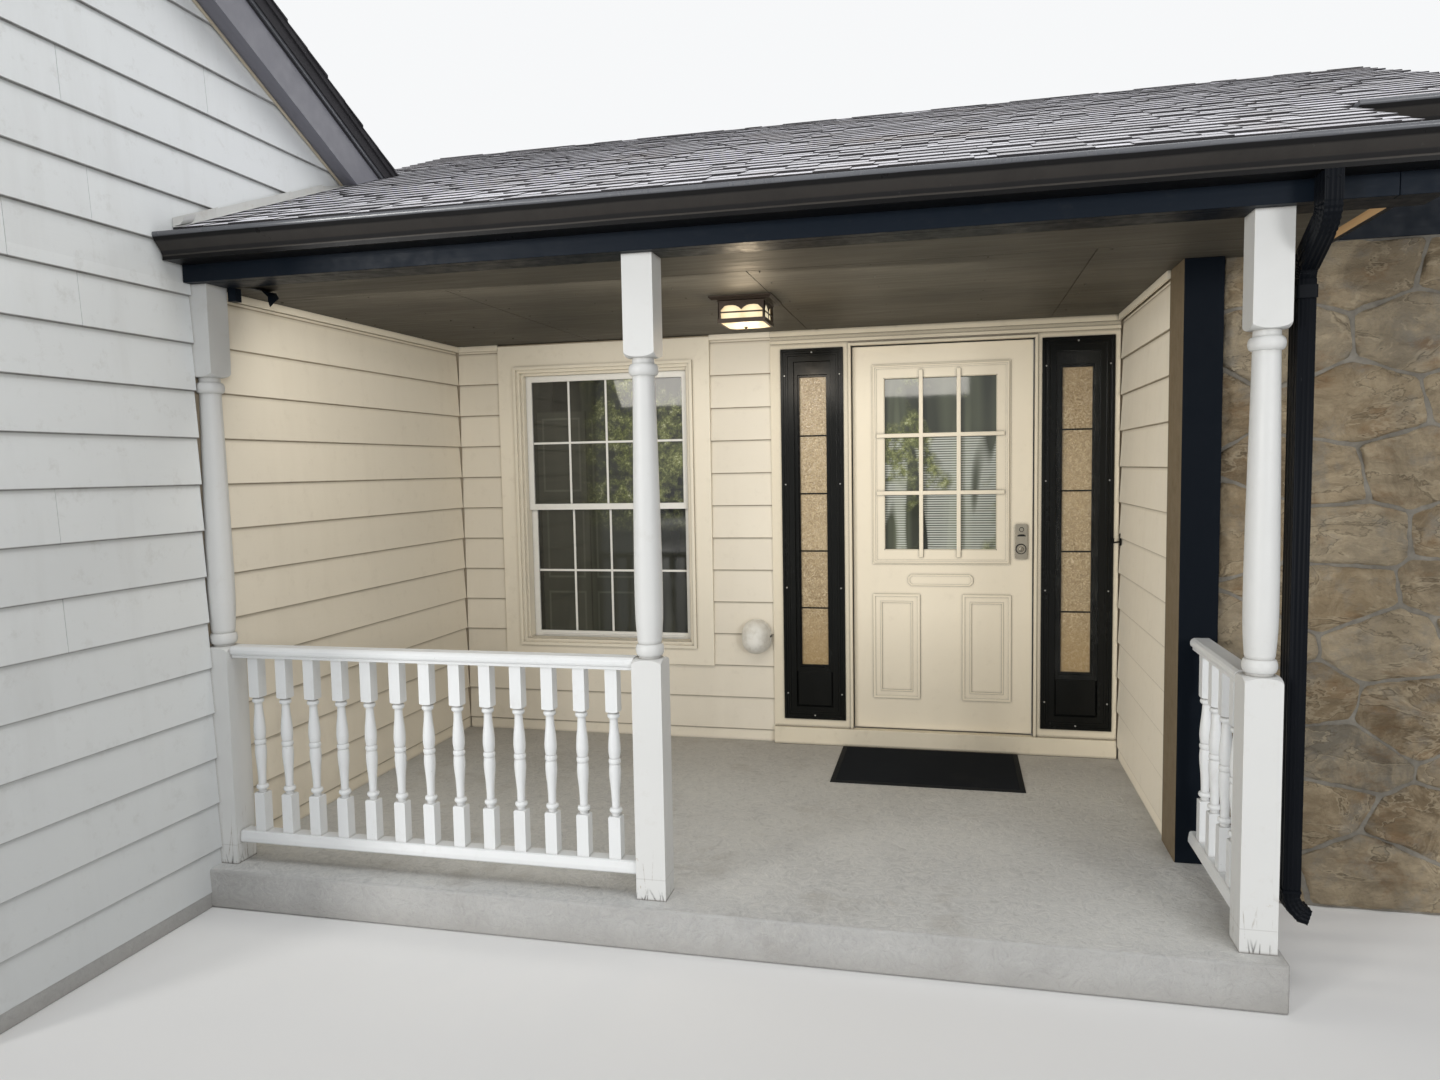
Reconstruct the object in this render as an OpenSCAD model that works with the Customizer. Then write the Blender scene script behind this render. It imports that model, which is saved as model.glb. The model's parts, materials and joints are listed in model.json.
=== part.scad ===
// Entrance porch of a house.
// A covered bay stands between a sided wing wall on the left and a short side wall on the right.
// The origin is on the ground, on the centre line of the posts, midway across the bay.
// X runs to the right, Y runs into the house, Z runs up.

/* [Bay] */
// Clear width between the siding faces of the two side walls
bay_w = 3592; // [3560:1:3800]
// Depth from the centre line of the posts to the siding of the back wall
bay_d = 1986; // [1900:1:2200]
// Height of the ceiling and of the beam's underside over the top of the door
head_room = 99; // [95:1:180]
// Height of the slab above the ground
slab_h = 150; // [120:1:180]
// How far the slab runs out in front of the posts
slab_lip = 65; // [40:1:100]

/* [Walls] */
// Thickness of the wall frames behind the siding
wall_t = 140; // [90:1:160]
// Depth of the lapped siding on the back wall and the right wall
siding_t = 24; // [18:1:30]
// Depth of the lapped siding and its furring on the left wall
left_siding_t = 40; // [30:1:50]
// How far the wing wall runs forward of the posts
wing_len = 1100; // [900:1:1300]
// How far the stone wall runs on to the right of the pilaster
stone_run = 975; // [800:1:1100]
// Depth of the stone facing
stone_t = 60; // [40:1:80]
// Distance from the posts to the stone face
stone_y = 676; // [660:1:700]
// Height of the underside of the frieze board over the ceiling
frieze_lift = 40; // [20:1:70]

/* [Pilaster] */
// Width of the boxed pilaster
pilaster_w = 135; // [120:1:150]
// Distance from the posts to the front of the pilaster
pilaster_y = 635; // [600:1:660]
// Depth of the pilaster
pilaster_d = 224; // [200:1:240]

/* [Posts] */
// Side of the square blocks of the posts
post_w = 107; // [100:1:115]
// Distance from the right wall to the centre of the middle post
middle_post_gap = 1840; // [1790:1:1900]
// How far the right post's centre stands out past the right wall's siding
right_post_out = 94; // [84:1:99]
// Height of the lower square block
low_block_h = 854; // [840:1:870]
// Length of the upper square block
top_block_h = 344; // [330:1:360]

/* [Railing] */
// Width of the hand rail
rail_w = 77; // [70:1:84]
// Height of the hand rail's top above the slab
rail_top = 855; // [840:1:870]
// Thickness of the hand rail
rail_h = 44; // [38:1:50]
// Height of the bottom rail's underside above the slab
foot_z = 80; // [60:1:90]
// Thickness of the bottom rail
foot_h = 47; // [40:1:50]
// Side of the square ends of the balusters
baluster_w = 44; // [38:1:48]
// Balusters between the left post and the middle post
left_balusters = 13; // [10:1:14]
// Balusters between the right post and the pilaster
right_balusters = 4; // [3:1:4]

/* [Roof] */
// Rise of the porch roof for each unit of run
roof_slope = 0.41; // [0.38:0.01:0.42]
// Height of the roof surface over the ceiling, on the line of the posts
roof_rise = 245; // [235:1:255]
// Thickness of the shingles, measured upright
shingle_t = 14; // [10:1:20]
// Thickness of the roof deck, measured upright
deck_t = 18; // [12:1:25]
// Thickness of the fascia board
fascia_t = 38; // [30:1:45]
// Thickness of the ceiling boards
ceiling_t = 10; // [8:1:15]
// Fall of the wing roof for each unit of run
wing_slope = 0.5; // [0.48:0.01:0.52]
// Height of the wing's rake soffit over the ground, on the line of the posts
rake_z = 3468; // [3400:1:3550]
// Height of the rake board, measured upright
rake_h = 165; // [140:1:180]
// How far the rake board stands out from the siding
rake_out = 60; // [50:1:80]

/* [Gutter] */
// Width of the gutter at its lip
gutter_w = 136; // [125:1:150]
// Depth of the gutter
gutter_h = 92; // [85:1:100]
// Thickness of the gutter's metal
gutter_t = 3; // [2:0.5:4]
// Width of the downspout
spout_w = 51; // [45:1:56]
// Depth of the downspout
spout_d = 76; // [66:1:80]

/* [Door] */
// Width of the door
door_w = 914; // [900:1:914]
// Height of the door
door_h = 2032; // [2000:1:2032]
// Thickness of the door
door_t = 44; // [40:1:48]
// Distance from the right wall's siding to the hinge edge of the door
door_back_off = 1324; // [1320:1:1326]
// Width of the whole door unit with its sidelights
unit_w = 1758; // [1750:1:1770]
// Width of the clear glass opening in the door
glass_w = 574; // [540:1:590]
// Height of the solid lower part of the door
door_low_h = 961; // [940:1:980]
// Height of the door's top rail
top_rail_h = 168; // [150:1:190]
// Width of the amber panes in the sidelights
lite_w = 143; // [130:1:155]
// Width of the black storm frames round the sidelights
storm_w = 68; // [60:1:72]
// Gap under the door and at its hinge edge
door_gap = 5; // [5:1:7]
// Gap at the lock edge of the door
lock_gap = 7; // [7:1:9]
// Height of the threshold
threshold_h = 94; // [80:1:100]

/* [Window] */
// How far the window sits left of the middle of its stretch of wall
window_shift = 41; // [20:1:45]
// Width of the window frame
window_w = 1052; // [1030:1:1060]
// Height of the ceiling over the window frame
window_drop = 131; // [125:1:150]
// Width of the casing's head over the window frame
casing_head = 121; // [110:1:122]
// Width of the casing's side boards
casing_side = 96; // [80:1:110]
// Width of the casing's sill board
casing_foot = 94; // [80:1:110]
// Height of the window frame
window_h = 1588; // [1570:1:1595]
// Width of the window frame's bars
frame_w = 45; // [40:1:50]
// Width of the sash bars
sash_w = 34; // [30:1:40]

/* [Fittings] */
// Width of the door mat
mat_w = 900; // [750:1:1000]
// Depth of the door mat
mat_d = 605; // [450:1:650]
// Width of the porch light's body
light_w = 202; // [180:1:220]
// Width of the porch light's ceiling plate
light_plate_w = 270; // [250:1:290]
// Width of the faucet cover
cover_w = 155; // [140:1:170]

/* [Hidden] */
$fn = 48;

eps = 1;
seat = 0.1;
left_x = -bay_w / 2;
right_x = bay_w / 2;
back_y = bay_d;
floor_z = slab_h;
sill_z = floor_z + threshold_h;
door_z = sill_z + door_gap;
door_top = door_z + door_h;
ceil_z = door_top + head_room;
clear_h = ceil_z - floor_z;
half_post = post_w / 2;
middle_post_x = right_x - middle_post_gap;
right_post_x = right_x + right_post_out;
top_block_z = clear_h - top_block_h;

left_core_x = left_x - left_siding_t;
left_out_x = left_core_x - wall_t;
right_core_x = right_x + siding_t;
pilaster_x = right_x - 2;
side_out_x = pilaster_x + pilaster_w;
pilaster_back = pilaster_y + pilaster_d;
core_y = back_y + siding_t;
out_y = core_y + wall_t;
stone_x1 = side_out_x + stone_run;
stone_core_y = stone_y + stone_t;
stone_back_y = stone_core_y + wall_t;
wing_y = -wing_len;
slab_y = -half_post - slab_lip;
slab_x1 = right_post_x + half_post + 18;
frieze_z = ceil_z + frieze_lift;
skirt_h = 60;

// Roof lines
roof_z0 = ceil_z + roof_rise;
function roof_z(y) = roof_z0 + roof_slope * y;
function deck_z(y) = roof_z(y) - shingle_t;
function under_z(y) = deck_z(y) - deck_t;
function rake_line(y, h) = rake_z + h - wing_slope * y;
function meet_y(h) = (rake_z + h - roof_z0) / (roof_slope + wing_slope);
wing_trim_h = 50;
wing_shingle_h = 70;
wing_h = rake_h + wing_trim_h + wing_shingle_h;
fascia_y = -half_post - fascia_t;
eave_y = fascia_y - 35;
verge_x = right_x + 438;
soffit_x1 = right_x + 373;
beam_x1 = right_x + 514;
main_eave_y = 476;
main_soffit_z = ceil_z + 330;
ridge_y = out_y + 54;

// Posts
left_post_x = left_core_x + half_post;
post_xs = [left_post_x, middle_post_x, right_post_x];
rail_shift = 16;

// Door unit
unit_x0 = right_x - unit_w;
unit_x1 = right_x;
door_x = right_x - door_back_off;
frame_y = back_y - 10;
door_y = back_y + 20;
door_back = door_y + door_t;
door_x1 = door_x + door_w;
open_x0 = door_x - door_gap;
open_x1 = door_x1 + lock_gap;
open_top = door_top + 6;
head_top = open_top + 35;
light_z0 = sill_z + 44;
light_top = door_top + 1;
left_light = [unit_x0 + 56, open_x0 - 40];
right_light = [open_x1 + 34, unit_x1 - 25];
lights = [left_light, right_light];
storm_t = 30;
lite_z0 = light_z0 + 294;
lite_top = light_top - 149;
hinge_r = 7;
hinge_x = door_x - door_gap / 2;
hinge_y = door_back + hinge_r;
hinge_zs = [door_z + 180, door_z + door_h / 2 - 50, door_z + door_h - 280];
glass_x0 = door_x + (door_w - glass_w) / 2 - 6;
glass_z0 = door_z + door_low_h;
glass_h = door_h - door_low_h - top_rail_h;
panel_z = door_z + 165;
panel_h = door_low_h - 400;
panel_w = 245;
panel_x = [door_x + 103, door_x1 - 103 - panel_w];

// Window
window_x = (left_x + unit_x0) / 2 - window_shift - window_w / 2;
frame_z1 = ceil_z - window_drop;
frame_z0 = frame_z1 - window_h;
casing_x0 = window_x - casing_side;
casing_x1 = window_x + window_w + casing_side;
casing_z0 = frame_z0 - casing_foot;
casing_z1 = frame_z1 + casing_head;
sash_x0 = window_x + frame_w;
sash_x1 = window_x + window_w - frame_w;
sash_z0 = frame_z0 + 34;
sash_z1 = frame_z1 - 48;
meet_z = (sash_z0 + sash_z1) / 2 + 5;
sash_t = 30;
upper_sash_y = back_y + 50;
lower_sash_y = upper_sash_y + sash_t + 2;

// Colours
white = [0.93, 0.93, 0.92];
cream = [0.93, 0.90, 0.82];
navy = [0.08, 0.09, 0.11];
concrete = [0.66, 0.65, 0.62];
frame_tan = [0.78, 0.74, 0.66];
stone = [0.70, 0.60, 0.46];
grey_board = [0.40, 0.40, 0.43];
shingle_grey = [0.38, 0.37, 0.38];
black = [0.05, 0.05, 0.055];
bronze = [0.12, 0.11, 0.11];
ceiling_brown = [0.20, 0.18, 0.17];
raw_wood = [0.72, 0.50, 0.30];
dark_glass = [0.16, 0.20, 0.22, 0.7];
amber = [0.80, 0.68, 0.45, 0.9];
steel = [0.70, 0.70, 0.70];

// A box between two corners
module block(x0, x1, y0, y1, z0, z1) {
    translate([x0, y0, z0])
        cube([x1 - x0, y1 - y0, z1 - z0]);
}

// A profile drawn in Y and Z, run along X
module along_x(x0, x1) {
    translate([x0, 0, 0])
        rotate([90, 0, 90])
            linear_extrude(x1 - x0)
                children();
}

// A profile drawn in X and Z, run along Y
module along_y(y0, y1) {
    translate([0, y1, 0])
        rotate([90, 0, 0])
            linear_extrude(y1 - y0)
                children();
}

// A rectangle between two corners
module rect(x0, x1, z0, z1) {
    translate([x0, z0])
        square([x1 - x0, z1 - z0]);
}

// Points of a round bead of a turning, as radius and height
function bead(core, out, z, half) =
    [for (t = [-90 : 22.5 : 90]) [core + (out - core) * cos(t), z + half * sin(t)]];

// Points of a smooth curve through radius and height pairs
function curve_at(p, i, t) =
    let (a = p[max(i - 1, 0)], b = p[i], c = p[i + 1], d = p[min(i + 2, len(p) - 1)])
    0.5 * (2 * b + (c - a) * t + (2 * a - 5 * b + 4 * c - d) * t * t
        + (3 * b - a - 3 * c + d) * t * t * t);
function curve(p, n) =
    [for (i = [0 : len(p) - 2], k = [0 : n - 1]) curve_at(p, i, k / n), p[len(p) - 1]];

// A square block whose end is turned down to a dome
module domed_block(w, z0, z1, dome, up) {
    r = w * 0.5 * sqrt(2) + 1;
    neck = w * 0.36;
    arc = [for (t = [0 : 10 : 90]) [neck + (r - neck) * cos(t), dome * sin(t)]];
    up_side = concat([[0, z0], [r, z0]], [for (p = arc) [p[0], z1 - dome + p[1]]], [[0, z1]]);
    down_side = concat([[0, z1], [r, z1]], [for (p = arc) [p[0], z0 + dome - p[1]]], [[0, z0]]);
    intersection() {
        translate([-w / 2, -w / 2, z0])
            cube([w, w, z1 - z0]);
        rotate_extrude()
            polygon(up ? up_side : down_side);
    }
}

// The turned shaft of a post, between its two blocks
module post_shaft() {
    low = low_block_h;
    top = top_block_z;
    body = [[43, low + 60], [45.5, low + 95], [48.4, low + 150], [49.2, low + 240], [48.6, low + 340],
        [46.6, low + 498], [43.2, low + 708], [40.6, low + 850], [38.9, top - 72]];
    outline = concat(
        [[0, low - 4], [38, low - 4]],
        bead(40, 49.8, low + 29, 21.5),
        curve(body, 4),
        bead(39, 51.8, top - 39, 21),
        [[38, top + 4], [0, top + 4]]);
    rotate_extrude()
        polygon(outline);
}

// One porch post, standing on the slab
module post() {
    domed_block(post_w, 0, low_block_h, 24, true);
    post_shaft();
    domed_block(post_w, top_block_z, clear_h, 24, false);
}

// Share of a step between the first or last baluster's centre and the post
baluster_end = 0.72;

// One baluster, between the two rails
module baluster() {
    z0 = foot_z + foot_h;
    z1 = rail_top - rail_h;
    lower = [[12.8, 311], [13.2, 335], [15, 375], [18.2, 415], [19.4, 442], [18, 464]];
    upper = [[17.4, 492], [19.6, 510], [19.8, 528], [18, 560], [14.6, 595], [12.8, 630]];
    k = baluster_w / 39.5;
    turned = concat(
        [[0, 276], [14, 276]],
        bead(13, 20.5, 300, 10),
        curve(lower, 3),
        bead(16, 19.8, 478, 10),
        curve(upper, 3),
        bead(13, 20, 642, 10),
        [[14, 659], [0, 659]]);
    outline = [for (p = turned) [p[0] * k, p[1]]];
    domed_block(baluster_w, z0, 280, 7, true);
    rotate_extrude()
        polygon(outline);
    domed_block(baluster_w, 655, z1, 5, false);
}

// Section of the hand rail, about its own centre line
function hand_rail() =
    let (w = rail_w / 2, b = rail_top - rail_h, t = rail_top)
    [[-w + 9, b], [w - 9, b], [w - 9, b + 10], [w - 2, b + 15], [w, b + 21], [w, b + 31],
        [w - 4, b + 38], [w - 13, t], [-w + 13, t], [-w + 4, b + 38], [-w, b + 31], [-w, b + 21],
        [-w + 2, b + 15], [-w + 9, b + 10]];

// Section of the bottom rail, about its own centre line
function foot_rail() =
    let (w = rail_w / 2 - 5, b = foot_z, t = foot_z + foot_h)
    [[-w + 6, b], [w - 6, b], [w, b + 6], [w, b + 20], [w - 4, t - 4], [w - 10, t], [-w + 10, t],
        [-w + 4, t - 4], [-w, b + 20], [-w, b + 6]];

module slab() {
    color(concrete)
        linear_extrude(floor_z)
            polygon([[left_core_x, slab_y], [slab_x1, slab_y], [slab_x1, stone_y],
                [side_out_x, stone_y], [side_out_x, pilaster_back], [right_core_x, pilaster_back],
                [right_core_x, core_y], [unit_x1, core_y], [unit_x1, out_y], [unit_x0, out_y],
                [unit_x0, core_y], [left_core_x, core_y]]);
}

module left_wall() {
    y1 = meet_y(rake_h);
    y2 = meet_y(wing_h);
    color(frame_tan)
        along_x(left_out_x, left_core_x)
            polygon([[wing_y, 0], [out_y, 0], [out_y, under_z(out_y) - seat], [y2, under_z(y2) - seat],
                [y2, roof_z(y2) - seat], [y1, roof_z(y1) - seat],
                [wing_y, rake_line(wing_y, rake_h) - seat]]);
}

module back_wall() {
    color(frame_tan) {
        difference() {
            along_x(left_core_x, unit_x0)
                polygon([[core_y, 0], [out_y, 0], [out_y, under_z(out_y) - seat],
                    [core_y, under_z(core_y) - seat]]);
            block(window_x, window_x + window_w, core_y - eps, out_y + eps, frame_z0, frame_z1);
        }
        along_x(unit_x1, stone_x1)
            polygon([[core_y, 0], [out_y, 0], [out_y, under_z(out_y) - seat],
                [core_y, under_z(core_y) - seat]]);
    }
}

module back_wall_over() {
    color(frame_tan)
        along_x(unit_x0, unit_x1)
            polygon([[core_y, head_top], [out_y, head_top], [out_y, under_z(out_y) - seat],
                [core_y, under_z(core_y) - seat]]);
}

module right_wall() {
    color(frame_tan)
        along_x(right_core_x, side_out_x)
            polygon([[pilaster_back, 0], [core_y, 0], [core_y, under_z(core_y) - seat],
                [pilaster_back, under_z(pilaster_back) - seat]]);
}

module front_wall() {
    color(frame_tan) {
        along_x(side_out_x, stone_x1)
            polygon([[stone_core_y, 0], [stone_back_y, 0], [stone_back_y, under_z(stone_back_y) - seat],
                [stone_core_y, under_z(stone_core_y) - seat]]);
        along_x(stone_x1 - wall_t, stone_x1)
            polygon([[stone_core_y, 0], [core_y, 0], [core_y, under_z(core_y) - seat],
                [stone_core_y, under_z(stone_core_y) - seat]]);
    }
}

module left_siding() {
    y1 = meet_y(rake_h);
    y2 = meet_y(wing_h);
    color(white)
        along_x(left_core_x, left_x)
            polygon([[wing_y, skirt_h], [slab_y, skirt_h], [slab_y, floor_z], [-half_post, floor_z],
                [-half_post, ceil_z], [core_y, ceil_z], [core_y, under_z(core_y) - seat],
                [y2, under_z(y2) - seat], [y2, roof_z(y2) - seat], [y1, roof_z(y1) - seat],
                [wing_y, rake_line(wing_y, rake_h) - seat]]);
}

module side_siding() {
    color(cream) {
        block(left_core_x, left_x, half_post, core_y, floor_z + skirt_h, ceil_z);
        block(right_x, right_core_x, pilaster_back, core_y, floor_z + skirt_h, ceil_z);
    }
}

// Skirt boards under the siding and the strips that cover its edges under the ceiling
module bay_trim() {
    z0 = ceil_z - 30;
    color(cream) {
        block(left_core_x, left_x - 8, half_post, core_y, floor_z, floor_z + skirt_h);
        block(left_x, unit_x0, back_y + 8, core_y, floor_z, floor_z + skirt_h);
        block(right_x + 8, right_core_x, pilaster_back, core_y, floor_z, floor_z + skirt_h);
        block(left_x, left_x + 14, half_post, back_y, z0, ceil_z);
        block(left_x + 14, casing_x0, back_y - 14, back_y, z0, ceil_z);
        block(casing_x1, unit_x0, back_y - 14, back_y, z0, ceil_z);
        block(right_x - 14, right_x, pilaster_back, back_y - 24, z0, ceil_z);
    }
}

module back_siding() {
    color(cream)
        along_y(back_y, core_y)
            difference() {
                rect(left_x, unit_x0, floor_z + skirt_h, ceil_z);
                rect(casing_x0, casing_x1, casing_z0, casing_z1);
            }
}

module stone_facing() {
    color(stone)
        block(side_out_x, stone_x1, stone_y, stone_core_y, 0, frieze_z);
}

module frieze() {
    color(navy)
        block(side_out_x, stone_x1, stone_y + 14, stone_core_y, frieze_z, main_soffit_z);
}

module pilaster() {
    color(navy)
        block(pilaster_x, side_out_x, pilaster_y, pilaster_back, floor_z, ceil_z);
}

module posts() {
    color(white)
        for (x = post_xs)
            translate([x, 0, floor_z])
                post();
}

module rails() {
    x0 = left_post_x + half_post;
    x1 = middle_post_x - half_post;
    rail_x = right_post_x - rail_shift;
    color(white)
        translate([0, 0, floor_z]) {
            along_x(x0, x1)
                polygon(hand_rail());
            along_x(x0, x1)
                polygon(foot_rail());
            translate([rail_x, 0, 0])
                along_y(half_post, pilaster_y)
                    polygon(hand_rail());
            translate([rail_x, 0, 0])
                along_y(half_post, pilaster_y)
                    polygon(foot_rail());
        }
}

// Centre of baluster i of n between a and b; the end gaps are less than a whole step
function baluster_at(i, n, a, b) =
    let (step = (b - a) / (n - 1 + 2 * baluster_end))
    a + (baluster_end + i - 1) * step;

module balusters() {
    x0 = left_post_x + half_post;
    x1 = middle_post_x - half_post;
    color(white)
        translate([0, 0, floor_z]) {
            for (i = [1 : left_balusters])
                translate([baluster_at(i, left_balusters, x0, x1), 0, 0])
                    baluster();
            for (i = [1 : right_balusters])
                translate([right_post_x - rail_shift,
                        baluster_at(i, right_balusters, half_post, pilaster_y), 0])
                    baluster();
        }
}

module beam() {
    color(navy)
        along_x(left_x, beam_x1)
            polygon([[-half_post, ceil_z], [half_post, ceil_z], [half_post, under_z(half_post) - seat],
                [-half_post, under_z(-half_post) - seat]]);
}

module fascia() {
    joint_x = right_x + 394;
    color(navy)
        for (x = [[left_x, joint_x], [joint_x + 2, beam_x1]])
            along_x(x[0], x[1])
                polygon([[fascia_y, ceil_z], [-half_post, ceil_z],
                    [-half_post, under_z(-half_post) - seat], [fascia_y, under_z(fascia_y) - seat]]);
}

module ceiling() {
    y1 = half_post + 305;
    g = 4;
    color(ceiling_brown)
        difference() {
            translate([0, 0, ceil_z])
                linear_extrude(ceiling_t)
                    polygon([[left_x, half_post], [soffit_x1, half_post], [soffit_x1, stone_y],
                        [side_out_x, stone_y], [side_out_x, pilaster_back],
                        [right_core_x, pilaster_back], [right_core_x, core_y], [left_x, core_y]]);
            block(left_x - eps, soffit_x1 + eps, y1, y1 + g, ceil_z - eps, ceil_z + 3);
            for (x = [left_x + 820, left_x + 820 + 1219, left_x + 820 + 2438])
                block(x, x + g, y1 + 2, core_y + eps, ceil_z - eps, ceil_z + 3);
        }
}

// The sloping outline of a roof layer between two heights under the roof surface
module roof_layer(x0, x1, y0, y1, d0, d1) {
    along_x(x0, x1)
        polygon([[y0, roof_z(y0) - d1], [y1, roof_z(y1) - d1], [y1, roof_z(y1) - d0],
            [y0, roof_z(y0) - d0]]);
}

module roof_deck() {
    y2 = meet_y(wing_h);
    color(raw_wood) {
        roof_layer(left_x, verge_x, eave_y + 20, main_eave_y, shingle_t + seat, shingle_t + deck_t);
        roof_layer(left_x, stone_x1, main_eave_y, ridge_y, shingle_t + seat, shingle_t + deck_t);
        roof_layer(left_out_x, left_x, y2, ridge_y, shingle_t + seat, shingle_t + deck_t);
        block(soffit_x1, verge_x - 20, half_post, stone_y, ceil_z, ceil_z + 89);
    }
}

module shingles() {
    y2 = meet_y(wing_h);
    color(shingle_grey) {
        roof_layer(left_x, verge_x, eave_y, main_eave_y, 0, shingle_t);
        roof_layer(left_x, stone_x1, main_eave_y - 30, ridge_y, 0, shingle_t);
        roof_layer(left_out_x, left_x, y2, ridge_y, 0, shingle_t);
    }
}

module step_flashing() {
    y1 = meet_y(0);
    color(white) {
        along_x(left_x, left_x + 4)
            polygon([[eave_y, roof_z(eave_y) + seat], [y1, roof_z(y1) + seat],
                [y1 - 70, roof_z(y1 - 70) + 63], [eave_y, roof_z(eave_y) + 63]]);
        along_x(left_x, left_x + 45)
            polygon([[eave_y, roof_z(eave_y) + seat], [y1, roof_z(y1) + seat],
                [y1, roof_z(y1) + 3], [eave_y, roof_z(eave_y) + 3]]);
    }
}

// A piece that follows the fall of the wing roof and ends on the porch roof
module rake_piece(x0, x1, h0, h1) {
    along_x(x0, x1)
        polygon([[wing_y, rake_line(wing_y, h0)], [meet_y(h0), roof_z(meet_y(h0)) + seat],
            [meet_y(h1), roof_z(meet_y(h1)) + seat], [wing_y, rake_line(wing_y, h1)]]);
}

module rake_board() {
    color(grey_board) {
        rake_piece(left_x, left_x + rake_out + 5, 4, 16);
        rake_piece(left_x + rake_out, left_x + rake_out + 25, 0, rake_h);
    }
}

module wing_roof() {
    color(black) {
        rake_piece(left_out_x, left_x + rake_out + 40, rake_h, rake_h + wing_trim_h);
        rake_piece(left_out_x, left_x + rake_out + 58, rake_h + wing_trim_h, wing_h);
    }
}

// Outline of the gutter metal, from the back edge round to the lip
function gutter_out() =
    let (w = gutter_w, h = gutter_h)
    [[0, h], [0, 0], [-w + 41, 0], [-w + 41, 18], [-w + 33, 33], [-w + 18, 50], [-w + 6, 63],
        [-w, 76], [-w, h], [-w + 16, h]];
function gutter_in() =
    let (w = gutter_w, h = gutter_h, t = gutter_t)
    [[-w + 16, h - t], [-w + t, h - t], [-w + t, 77], [-w + 6 + t, 65], [-w + 19 + t, 52],
        [-w + 34 + t, 36], [-w + 41 + t, 19], [-w + 41 + t, t], [-t, t], [-t, h]];

// A length of gutter with its two end caps
module gutter(x0, x1) {
    cap = concat(gutter_out(), []);
    along_x(x0, x1)
        polygon(concat(gutter_out(), gutter_in()));
    along_x(x0, x0 + gutter_t)
        polygon(cap);
    along_x(x1 - gutter_t, x1)
        polygon(cap);
}

gutter_z = ceil_z + 63;
upper_gutter_z = main_soffit_z - 18;

module gutters() {
    color(bronze) {
        translate([0, fascia_y, gutter_z])
            gutter(left_x + 2, beam_x1 + 20);
        translate([0, main_eave_y, upper_gutter_z])
            gutter(verge_x + 3, stone_x1);
    }
}

// Points of an arc about a centre in an upright plane
function arc_points(u, z, r, from, to) =
    [for (i = [0:12]) let (t = from + (to - from) * i / 12) [u + r * cos(t), z + r * sin(t)]];

spout_r = 27;
spout_angle = 60;
spout_outlet = 80;
spout_foot_r = 45;
spout_foot_lift = 170;
spout_x = slab_x1 + 8 + spout_w / 2;
spout_y = spout_d / 2;

module downspout() {
    a = spout_angle;
    mid = spout_r + spout_d / 2;
    y0 = fascia_y - 20 - spout_d / 2;
    drop = 2 * mid * sin(a);
    shift = 2 * mid * (1 - cos(a));
    slant = (spout_y - y0 - shift) / sin(a);
    z0 = gutter_z - spout_outlet;
    z1 = z0 - drop - slant * cos(a);
    low_z = floor_z + spout_foot_lift;
    color(black)
        translate([spout_x, 0, 0]) {
            along_x(-spout_w / 2, spout_w / 2)
                polygon(concat([[y0 - spout_d / 2, gutter_z]],
                    arc_points(y0 + mid, z0, mid + spout_d / 2, 180, 180 + a),
                    arc_points(spout_y - mid, z1, mid - spout_d / 2, a, 0),
                    [[spout_y - spout_d / 2, low_z], [spout_y + spout_d / 2, low_z]],
                    arc_points(spout_y - mid, z1, mid + spout_d / 2, 0, a),
                    arc_points(y0 + mid, z0, mid - spout_d / 2, 180 + a, 180),
                    [[y0 + spout_d / 2, gutter_z]]));
            translate([-spout_w / 2 - 3, spout_y - spout_d / 2 - 3, z1 - 54])
                cube([spout_w + 6, spout_d + 6, 38]);
            translate([0, spout_y, low_z])
                spout_foot();
        }
}

// The bend at the foot of the downspout, turned to the right
module spout_foot() {
    r = spout_foot_r;
    translate([r + spout_w / 2, spout_d / 2, -0.3])
        rotate([90, 0, 0])
            linear_extrude(spout_d)
                polygon(concat(arc_points(0, 0, r, 180, 255), arc_points(0, 0, r + spout_w, 255, 180)));
}

module eave_boards() {
    z1 = under_z(main_eave_y) - seat;
    color(navy) {
        block(verge_x + 3, stone_x1, main_eave_y, main_eave_y + 22, main_soffit_z - 20, z1);
        block(verge_x + 3, stone_x1, main_eave_y + 22, stone_core_y, main_soffit_z,
            main_soffit_z + 12);
        along_x(verge_x - 20, verge_x)
            polygon([[half_post, ceil_z], [stone_y, ceil_z], [stone_y, under_z(stone_y) - seat],
                [half_post, under_z(half_post) - seat]]);
        along_x(stone_x1 - 20, stone_x1)
            polygon([[main_eave_y + 22, main_soffit_z + 12], [stone_core_y, main_soffit_z + 12],
                [stone_core_y, under_z(stone_core_y) - seat],
                [main_eave_y + 22, under_z(main_eave_y + 22) - seat]]);
    }
}

// A rectangular ring between two insets of one outline
module ring(x0, x1, z0, z1, inset, width) {
    a = inset;
    b = inset + width;
    difference() {
        rect(x0 + a, x1 - a, z0 + a, z1 - a);
        rect(x0 + b, x1 - b, z0 + b, z1 - b);
    }
}

module window_casing() {
    color(cream)
        along_y(back_y - 12, core_y)
            difference() {
                rect(casing_x0, casing_x1, casing_z0, casing_z1);
                rect(window_x, window_x + window_w, frame_z0, frame_z1);
            }
}

// The window frame steps back from its outer band to the sash opening
module window_frame() {
    x0 = window_x;
    x1 = window_x + window_w;
    color(cream) {
        along_y(back_y - 28, back_y - 10)
            ring(x0, x1, frame_z0, frame_z1, 0, 16);
        along_y(back_y - 10, back_y + 14)
            ring(x0, x1, frame_z0, frame_z1, 0, frame_w - 12);
        along_y(back_y + 14, out_y - 30)
            difference() {
                rect(x0, x1, frame_z0, frame_z1);
                rect(sash_x0, sash_x1, sash_z0, sash_z1);
            }
    }
}

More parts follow.
